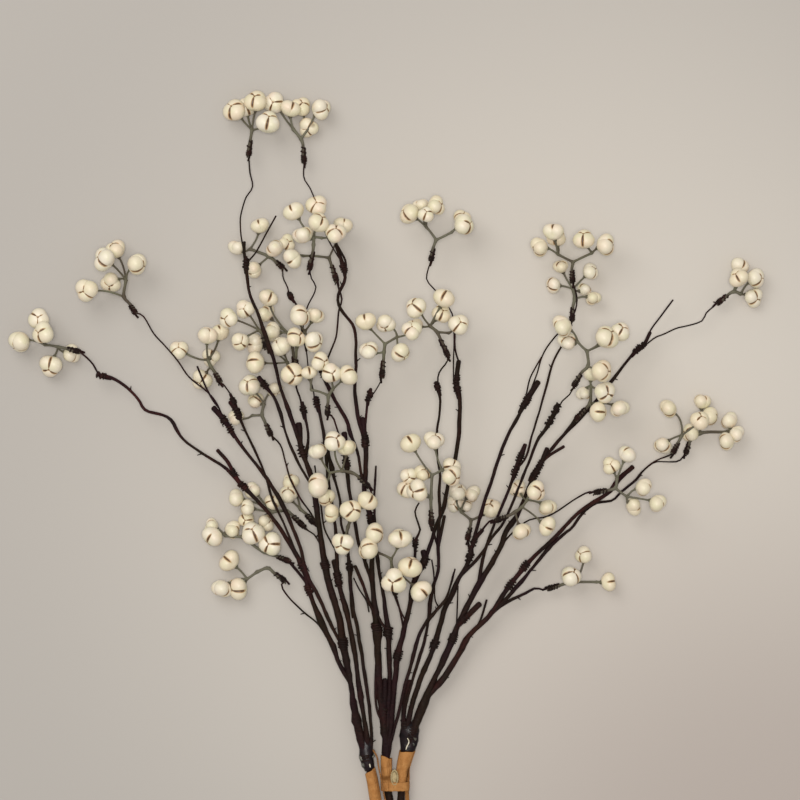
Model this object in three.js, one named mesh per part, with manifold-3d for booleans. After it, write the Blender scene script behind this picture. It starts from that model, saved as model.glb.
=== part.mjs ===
// A bunch of dried cotton-like bolls on dark wound stems, laid on a surface.
//
// Three wound stems lie side by side, each in a paper wrap, and fan out into branches and thin wires.
// Each spray of bolls is its own piece: its cut stub sits in the wire binding at the tip of a branch.
//
// Frame: +X to the right across the fan, +Y from the cut ends towards the tips, +Z up. The origin is
// on the surface, under the middle of the bunch. Millimetres.

import * as THREE from "three";
import { mergeVertices } from "three/addons/utils/BufferGeometryUtils.js";
import Module from "manifold-3d";

const wasm = await Module();
wasm.setup();

// ---- Driving dimensions, in millimetres ------------------------------------------------------------

// The fan is laid out on a drawing in layout units, as it is seen from straight above: [across, down]
// or [across, down, height in mm]. One unit is LAYOUT_UNIT on the plane at LAYOUT_PLANE.
const LAYOUT_UNIT = 0.625;
const LAYOUT_MIDDLE = [400, 400];
const LAYOUT_PLANE = 25;
const EYE_HEIGHT = 2000;

const STUB_RADIUS = 1.1;         // stalk of a spray where it is bound
const FORK_RADIUS = 1.3;         // stalk of a spray at its forks
const PEDICEL_RADIUS = 0.85;     // the short stalk of one boll
const SEAT_GAP = 0.4;            // clearance between a stub and its binding
const BEND_ROOM = 1;             // a stalk is straight for this long before it enters its binding
const BINDING_RADIUS = 2.4;
const BINDING_TAIL = 5;          // length of binding past the end of the stub
const KNOT_LENGTH = 7;
const KNOT_SWELL = 0.9;          // how much thicker than its strand a taped knot is
const WIRE_RADIUS = 0.7;         // the least radius of a strand as it is built here
const STRAND_STEP = 26;          // distance between two sections of a strand
const ROUTE_PARTS = 10;          // how finely a route is searched for its nearest point
const ROD_SIDES = 5;
const BRANCH_SIDES = 4;
const WIRE_SIDES = 3;
const FORK_SIDES = 4;
const PEDICEL_SIDES = 3;
const WIRE_LIMIT = 0.95;         // strands that are thicker than this somewhere have BRANCH_SIDES

const BOLL_HEIGHT = 0.92;        // height of a boll, as a share of its width
const BOLL_GROOVE = 0.13;        // depth of the three seams, as a share of the radius
const BOLL_DIMPLE = 0.16;        // depth of the hollow where the seams meet
const BOLL_FLAT = 0.82;          // a low boll rests on a small flat spot, this share of its radius down
const BOLL_SEAT = 0.88;          // the pedicel enters the boll this share of its radius behind its middle
const BOLL_SWELL = 1.15;         // the corners of the facets stand out, so that the outline is as large
const BOLL_SIDES = 6;
const BOLL_RINGS = 3;

// Strands: what each joins, its radii in even steps from tip to foot in millimetres, the sprays bound
// to its tip, its taped knots, and its route from tip to foot. One with no join is the rod of a stem.
const STRANDS = {
  "left_rod": {"joins": "", "thick": [1.9, 1.45, 1.9, 2, 2.4, 1.7, 2.3, 2.4, 2.4, 2.4, 2.4, 2.4, 2.4],
    "holds": [],
    "knots": [[304, 453], [325, 565], [343, 643], [361, 760]],
    "path": [[298.7, 423.6, 27], [301.4, 449, 27], [309.8, 472, 27], [315, 497, 26], [319, 526, 25],
      [323.6, 556, 23], [328, 580, 22], [334, 600, 20], [339.6, 620, 18], [343, 643, 16], [350, 680, 12],
      [355.5, 715, 8.5], [363, 748, 6.4], [370.4, 772, 5.6], [375.6, 800, 5], [380, 840, 3.6],
      [382, 900, 2.5], [382, 1036, 2.5]]},
  "top_left_branch": {"joins": "left_rod", "thick": [0.5, 0.45, 0.5, 1.1, 1.05, 1.15, 1.15, 1.15, 1.2],
    "holds": ["spray_top_left"],
    "knots": [[246, 265]],
    "path": [[250, 173, 14], [252.6, 187, 17], [246, 198, 21], [241, 214, 25], [240.5, 230, 29],
      [246, 265, 33], [248, 284, 34], [251, 298, 34], [258, 314, 34], [267, 340, 34], [273.4, 358, 33],
      [280, 386, 31], [289.5, 413, 29], [297, 434, 28]]},
  "centre_wire": {"joins": "left_rod", "thick": [0.6, 0.8, 1.3],
    "holds": ["spray_centre_front", "spray_centre_cluster", "spray_centre_side"],
    "knots": [[302.5, 409]],
    "path": [[296.4, 387.4, 25], [301, 401, 27], [306.3, 422.6, 27], [308.3, 437, 27]]},
  "centre_left_wire": {"joins": "top_left_branch", "thick": [0.5, 0.5], "holds": ["spray_centre_left"],
    "knots": [],
    "path": []},
  "low_back_wire": {"joins": "left_rod", "thick": [1.3, 0.85, 0.85, 0.85], "holds": [],
    "knots": [[264, 386]],
    "path": [[258.5, 377, 24], [266, 387, 24], [274, 397, 24], [281, 415, 24], [286.4, 435.6, 25],
      [297, 460, 26], [305, 475, 26]]},
  "fork_back_wire": {"joins": "left_rod", "thick": [0.5, 0.6, 0.6, 0.7], "holds": ["spray_centre_back"],
    "knots": [],
    "path": [[280.3, 444.8, 13], [284.9, 460, 16], [288.4, 473, 18], [292, 483, 19], [301.4, 500, 21],
      [310.6, 513, 23]]},
  "far_left_branch": {"joins": "left_rod",
    "thick": [0.6, 1.05, 0.95, 0.85, 0.85, 0.9, 1.4, 1.2, 1.2, 1.4, 1.6, 1.6, 1.6],
    "holds": ["spray_far_left"],
    "knots": [[101, 375], [243, 486], [299, 568], [308, 588]],
    "path": [[86, 357, 13], [92, 363, 12], [101, 375, 11], [112, 378, 10.5], [125, 386, 10], [138, 399, 11],
      [145, 410, 11], [163, 415, 12], [171, 420, 12], [182, 438, 13], [208, 457, 14], [224, 467, 14.5],
      [243, 486, 15], [271, 516, 16], [291, 545.8, 17], [303, 568, 18], [310, 593.6, 18],
      [323.6, 627.5, 16], [332.5, 645, 14], [340, 665, 13]]},
  "upper_left_branch": {"joins": "left_rod",
    "thick": [0.5, 0.5, 0.5, 0.55, 0.9, 1.15, 1.2, 1.2, 1.15, 1.15, 1.15, 1.1],
    "holds": ["spray_upper_left"],
    "knots": [[228, 428]],
    "path": [[142, 315, 16], [154, 334, 17], [165, 346, 18], [177, 360, 19], [190, 378, 19.5],
      [208.4, 392.8, 20], [217, 404, 20], [224.4, 420, 20], [243.6, 448.6, 20], [262, 472, 21],
      [280, 500, 21.5], [290.7, 523, 22], [300.6, 549, 22], [308, 577.5, 21], [317, 593.6, 20],
      [330.7, 624, 18]]},
  "mid_left_branch": {"joins": "far_left_branch", "thick": [0.5, 0.85, 0.75, 0.8, 0.75, 0.75],
    "holds": ["spray_mid_left"],
    "knots": [[232, 402], [239, 416]],
    "path": [[223, 384, 14], [231.3, 396.6, 15], [239, 416.5, 16], [245.9, 431.8, 17], [258.9, 459.4, 17],
      [267, 481, 17], [273, 501, 17.5], [285, 526, 18], [294, 548, 18]]},
  "crown_branch": {"joins": "left_rod",
    "thick": [0.45, 0.5, 0.55, 1.2, 1.05, 1, 1.1, 1.3, 1.55, 1.6, 1.55, 1.6, 1.6], "holds": ["spray_crown"],
    "knots": [[316, 402], [338.6, 581]],
    "path": [[311.4, 278.5, 27], [315.7, 286, 26.5], [314.3, 293, 26], [308.5, 304, 25], [304, 320, 25],
      [303, 335, 24.5], [306, 348, 24], [309, 373, 24], [315, 397, 24], [321, 418, 25], [326, 452.7, 25],
      [327.4, 475.6, 25], [331, 500, 24], [335.8, 532, 23], [338.5, 581, 20], [347.7, 616, 17],
      [355.7, 660, 13], [359, 686, 11], [362.5, 708, 9.5], [365.5, 728, 8.2], [368.6, 748, 6.9],
      [371.5, 765, 5.9]]},
  "back_crown_wire": {"joins": "crown_branch", "thick": [0.45, 0.75], "holds": ["spray_back_crown"],
    "knots": [[291, 297]],
    "path": [[283, 277, 11], [288, 288, 14], [291, 297, 17], [297, 306, 21]]},
  "inner_strand": {"joins": "left_rod", "thick": [1.05, 0.85, 0.8, 1.1, 1.15, 1.2, 1.15, 1, 1.05, 1.1],
    "holds": [],
    "knots": [[350, 567]],
    "path": [[328, 450, 22], [329, 456.5, 23], [332.8, 471.8, 24], [336.6, 487, 24], [340.4, 502, 24],
      [341, 522.8, 24], [345, 536, 23.5], [348.5, 556, 22], [350, 577.5, 21], [353, 607, 19],
      [357.5, 629, 17], [362, 656, 14], [365.5, 680, 12], [369, 703.6, 9.5], [371, 726, 8],
      [371.5, 742, 7.2], [371, 758, 6.3]]},
  "twin_wire": {"joins": "crown_branch", "thick": [0.5, 0.6, 0.6], "holds": [], "knots": [],
    "path": [[314.8, 465.7, 26], [317, 483, 26], [320.5, 502, 26], [324.5, 529, 25]]},
  "cross_back_wire": {"joins": "left_rod", "thick": [0.45, 0.6], "holds": ["spray_cross_back"],
    "knots": [[303, 525]],
    "path": [[308, 530.5, 14], [315, 535.5, 20]]},
  "pair_wire": {"joins": "left_rod", "thick": [0.5, 0.5], "holds": ["spray_pair"], "knots": [],
    "path": [[316, 524, 19]]},
  "lower_middle_wire": {"joins": "inner_strand", "thick": [0.6, 0.6], "holds": ["spray_inner_front"],
    "knots": [],
    "path": []},
  "lower_row_wire": {"joins": "far_left_branch", "thick": [0.9, 1.1], "holds": ["spray_lower_row"],
    "knots": [],
    "path": []},
  "lower_left_wire": {"joins": "far_left_branch", "thick": [0.55, 0.55], "holds": ["spray_lower_left"],
    "knots": [],
    "path": [[281.5, 585, 6], [288.5, 597, 7], [305, 613, 11], [318, 624, 14]]},

  "middle_rod": {"joins": "", "thick": [1, 1, 1, 1.4, 1.45, 1.6, 2.25, 2.35, 2.4, 2.4, 2.4, 2.4, 2.4],
    "holds": [],
    "knots": [[365, 443], [371, 517], [377, 629]],
    "path": [[336, 245, 33], [344, 271, 33], [345, 280, 33], [338, 295, 32], [339, 306, 32], [354, 328, 31],
      [356, 356, 29], [355, 390, 29], [358, 417, 30], [365, 441, 30], [365.7, 472, 29], [364, 489, 28],
      [368.7, 511, 27], [373, 530, 26], [372, 560, 23], [372.5, 585, 20], [375.4, 611, 18], [377, 629, 17],
      [379, 680, 12], [383, 715, 8.5], [386, 745, 6.2], [386.5, 770, 5.6], [389, 800, 5], [390.5, 840, 3.6],
      [391, 900, 2.5], [391, 1051, 2.5]]},
  "top_middle_wire": {"joins": "middle_rod", "thick": [0.45, 0.4, 0.5], "holds": ["spray_top_middle"],
    "knots": [],
    "path": [[304, 178, 11], [310, 188, 12], [314, 197, 14], [320, 214, 18], [326, 234, 23], [334, 250, 28]]},
  "side_crown_wire": {"joins": "middle_rod", "thick": [0.6, 0.6, 0.5, 1.2, 1.15, 0.8, 1],
    "holds": ["spray_side_crown"],
    "knots": [[323, 371]],
    "path": [[339, 289, 22], [342, 300, 23], [339, 310, 24], [336, 337, 25], [329.5, 354, 25],
      [323, 371, 26], [332.3, 395.3, 26], [338, 405, 27], [346.6, 421.3, 28], [351, 435, 28.5],
      [356.5, 449, 29], [361, 472, 29]]},
  "middle_right_wire": {"joins": "middle_rod", "thick": [0.4, 0.8, 1.2], "holds": ["spray_middle_right"],
    "knots": [[369, 397]],
    "path": [[380, 383, 35], [374, 392, 33], [369, 397, 32], [367, 407, 31], [365, 430, 30]]},
  "back_front_strand": {"joins": "middle_rod", "thick": [1.7, 1.2, 1, 1.05, 1.1], "holds": [],
    "knots": [[346, 461]],
    "path": [[344.6, 433, 27], [346, 459, 27], [348, 479.5, 27], [351, 502, 26], [355, 523, 25],
      [358, 540, 24], [364.6, 561, 22.5], [370, 577, 21]]},
  "front_middle_wire": {"joins": "back_front_strand", "thick": [0.6, 0.65], "holds": ["spray_front_middle"],
    "knots": [],
    "path": [[332, 416, 30], [336.6, 427, 28]]},
  "berry_wire": {"joins": "middle_rod", "thick": [0.6, 0.75, 1, 1.15, 1.7, 1.5, 1.5, 1.5], "holds": [],
    "knots": [[388, 632]],
    "path": [[376, 466, 27], [374.5, 493, 27], [375, 525, 26], [377, 556, 22], [382.5, 590, 19.5],
      [388, 632, 16], [389.6, 680, 11], [388.5, 705, 9], [387.5, 726, 7.9]]},
  "lower_front_wire": {"joins": "berry_wire", "thick": [0.55, 0.55], "holds": ["spray_lower_front"],
    "knots": [],
    "path": [[370.3, 489.4, 30]]},
  "split_strand": {"joins": "middle_rod", "thick": [1.05, 1.1], "holds": [], "knots": [],
    "path": [[355, 566, 26], [363, 584.6, 23], [369, 602.5, 20.5]]},
  "right_high_branch": {"joins": "middle_rod",
    "thick": [0.45, 0.5, 0.6, 0.6, 1, 1, 1.1, 1.15, 1.5, 1.75, 1.7, 1.7, 1.8],
    "holds": ["spray_right_high"],
    "knots": [[459, 431], [424, 562], [398, 658]],
    "path": [[427, 274, 22], [427, 280, 22], [436, 291, 22], [447, 305, 22], [452, 314, 22], [454, 334, 23],
      [454, 380, 24], [459, 394, 24], [459, 430, 23], [455, 460.7, 22], [449, 480, 21], [446, 496, 20],
      [442, 512.7, 19], [435.4, 528, 17.5], [430, 545.6, 17.5], [424.6, 562, 17.5], [415, 579, 17.5],
      [411, 598, 17.5], [407.5, 616, 17], [404, 629, 16], [397, 660, 13], [394.6, 685.7, 11],
      [392, 712.5, 8.8], [390.5, 728, 7.7], [388.5, 748, 6.3]]},
  "low_front_wire": {"joins": "right_high_branch", "thick": [0.6, 0.8], "holds": ["spray_low_front"],
    "knots": [],
    "path": [[399.5, 609, 18]]},
  "curled_wire": {"joins": "right_high_branch", "thick": [0.5, 0.9, 0.9],
    "holds": [], "knots": [[416, 541]],
    "path": [[419, 503, 27], [415, 511, 26], [418, 523, 25], [420, 530, 24], [416, 540, 22],
      [415, 553, 20]]},
  "crossing_strand": {"joins": "middle_rod", "thick": [0.5, 1, 1.15, 1.05, 1.05, 1.1],
    "holds": [], "knots": [],
    "path": [[454, 572, 23.5], [446, 598, 23.5], [437, 610, 23], [428, 620, 22], [421, 631, 20],
      [412, 660.5, 17.5], [407, 679, 16], [401.5, 700, 13.5], [398.5, 714, 11.3], [392.7, 735, 8]]},

  "right_rod": {"joins": "", "thick": [0.95, 1.3, 1.4, 1.75, 1.75, 1.75, 2.7, 2.5, 2.5, 2.5, 2.5, 2.5, 2.5],
    "holds": ["spray_right_front"],
    "knots": [[535, 475], [453, 638], [410, 733]],
    "path": [[565, 433, 23], [553.5, 447, 22], [545, 457, 22], [537, 470.6, 22], [531.8, 480.6, 21.5],
      [516.5, 516.5, 21], [505.7, 531.8, 20.5], [502, 543.3, 20], [493.5, 560, 19], [482.7, 578, 18],
      [473.8, 593.6, 17], [465.7, 609, 16], [460, 620, 15], [453, 638, 14], [442.5, 662, 12],
      [434, 680, 10], [418.8, 716, 7.2], [412, 734, 6.3], [407, 752, 5.7], [402.8, 770, 5.5],
      [401, 792, 5.2], [400, 840, 3.6], [400, 900, 2.5], [400, 1043, 2.5]]},
  "far_right_branch": {"joins": "right_rod", "thick": [0.45, 0.4, 0.4, 0.85, 0.85, 0.9],
    "holds": ["spray_far_right"],
    "knots": [[639, 347]],
    "path": [[705.5, 314, 8], [703, 320, 8], [687, 326, 8.5], [677, 328, 9], [664, 334, 10], [654, 337, 10],
      [639, 347, 11], [610, 383, 14], [597, 400, 16], [583, 415, 20]]},
  "high_branch": {"joins": "right_rod",
    "thick": [0.5, 0.5, 0.5, 1.1, 1.05, 1.15, 1.05, 1.3, 1.6, 1.6, 1.65, 1.55, 1.55],
    "holds": ["spray_high_right"],
    "knots": [[525, 403], [469, 558], [434.5, 645]],
    "path": [[575.6, 291, 22], [577, 300.5, 21], [574.6, 313, 20], [567, 325, 19], [555, 337, 19],
      [545, 351, 19], [535, 379, 20], [525, 403, 21], [505, 442, 22], [495, 470.6, 22], [485.9, 497.4, 22],
      [479, 520.3, 22], [472.8, 543.3, 21], [467, 565, 20], [456.8, 582, 19], [451, 597, 18],
      [444, 611, 17], [439, 629, 16], [434.5, 645, 15], [426.4, 665, 13], [420, 680, 11.5],
      [414, 698, 9.5], [409.5, 716, 7.9], [405.8, 734, 6.6], [405, 746, 6]]},
  "knobbly_branch": {"joins": "right_rod", "thick": [1.3, 1.05, 0.85, 1.05, 1.1], "holds": [],
    "knots": [[521, 456], [515, 472]],
    "path": [[525.6, 444.6, 25], [518, 463, 25], [508.8, 489.7, 25], [500.4, 510.4, 24],
      [492.7, 528, 22], [486.6, 545.6, 20.5], [482.8, 560, 19.5]]},
  "straight_branch": {"joins": "knobbly_branch", "thick": [0.65, 0.7, 0.7, 0.7, 0.7],
    "holds": ["spray_back_right"],
    "knots": [],
    "path": [[568, 335, 14], [554, 360, 17], [546, 388, 19], [538, 416, 21], [532, 435, 23],
      [525, 459, 25]]},
  "middle_high_branch": {"joins": "high_branch", "thick": [0.45, 1, 0.75, 0.75, 0.85, 0.9, 1.1],
    "holds": ["spray_upper_right"],
    "knots": [[556, 405]],
    "path": [[570, 394, 33], [561, 402, 32], [551.6, 418, 31], [545, 430, 30], [537.9, 440, 29],
      [529.5, 460.7, 29], [518, 489, 29], [503.5, 522.6, 27], [492.7, 536.4, 25], [479, 557, 22]]},
  "right_centre_branch": {"joins": "right_rod",
    "thick": [0.5, 0.9, 0.75, 0.7, 1.1, 1, 1.15, 1.05, 1, 1, 1, 1], "holds": ["spray_right_centre"],
    "knots": [[438, 385]],
    "path": [[447, 362, 32], [440, 371, 31], [437, 383, 30], [440, 399, 30], [439.5, 414, 29],
      [437, 430, 28], [437.7, 460.7, 27], [440, 474, 26], [439, 493.6, 25], [440, 512.7, 24.5],
      [438.4, 531.8, 23.5], [438, 548, 22.5], [438.5, 570, 20], [433.6, 584.6, 19], [430, 602.5, 18],
      [429, 616, 17], [424, 642.7, 15], [416, 668, 12.5], [409, 692, 10], [404, 712, 8.6], [402.3, 728, 7.4],
      [403, 744, 6.4]]},
  "middle_low_wire": {"joins": "right_centre_branch", "thick": [0.7, 0.75], "holds": ["spray_middle_low"],
    "knots": [],
    "path": [[434, 534, 27]]},
  "right_low_wire": {"joins": "high_branch", "thick": [0.7, 0.7], "holds": ["spray_right_low"],
    "knots": [],
    "path": [[490, 521, 29]]},
  "low_cluster_wire": {"joins": "high_branch", "thick": [0.8, 0.8], "holds": ["spray_low_cluster"],
    "knots": [],
    "path": []},
  "outer_branch": {"joins": "right_rod", "thick": [1.6, 1.3, 1.15, 1.15, 1.3, 1.4, 1.7, 2, 2], "holds": [],
    "knots": [[521, 584]],
    "path": [[633, 467, 14], [617, 481, 14], [610, 491, 14], [578, 513, 14], [553, 539, 14],
      [527, 564, 14], [510, 585, 14], [489, 616, 13], [469, 636, 12], [460, 651.6, 11.5],
      [453, 663, 11], [442.5, 680, 10]]},
  "edge_branch": {"joins": "outer_branch", "thick": [0.45, 0.5, 0.85, 0.85, 1.1, 1.1, 1.1, 1.2],
    "holds": ["spray_edge_right"],
    "knots": [],
    "path": [[685, 454, 7.5], [679, 461, 8], [666, 462, 9], [655, 462, 9], [642, 472, 10], [637, 479, 10],
      [620, 493, 10.5], [613, 500, 11], [596, 503, 11], [576, 518, 12], [550, 546, 13], [525, 571, 13.5],
      [505, 594, 13.5]]},
  "edge_front_wire": {"joins": "edge_branch", "thick": [0.5, 0.45], "holds": ["spray_edge_front"],
    "knots": [],
    "path": [[668, 456, 12], [657, 460, 10]]},
  "outer_wire": {"joins": "right_rod", "thick": [0.55, 0.5, 0.6], "holds": ["spray_outer_right"],
    "knots": [],
    "path": [[589, 492, 20], [580, 496, 20], [556, 512, 20], [545, 517, 20], [527, 521, 20]]},
  "lower_right_branch": {"joins": "outer_branch", "thick": [0.45, 1.2, 1.2], "holds": ["spray_lower_right"],
    "knots": [],
    "path": [[543, 590, 9], [536, 588, 9.5], [526, 593, 10], [509, 601, 11], [499, 607, 12]]},
};

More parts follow.
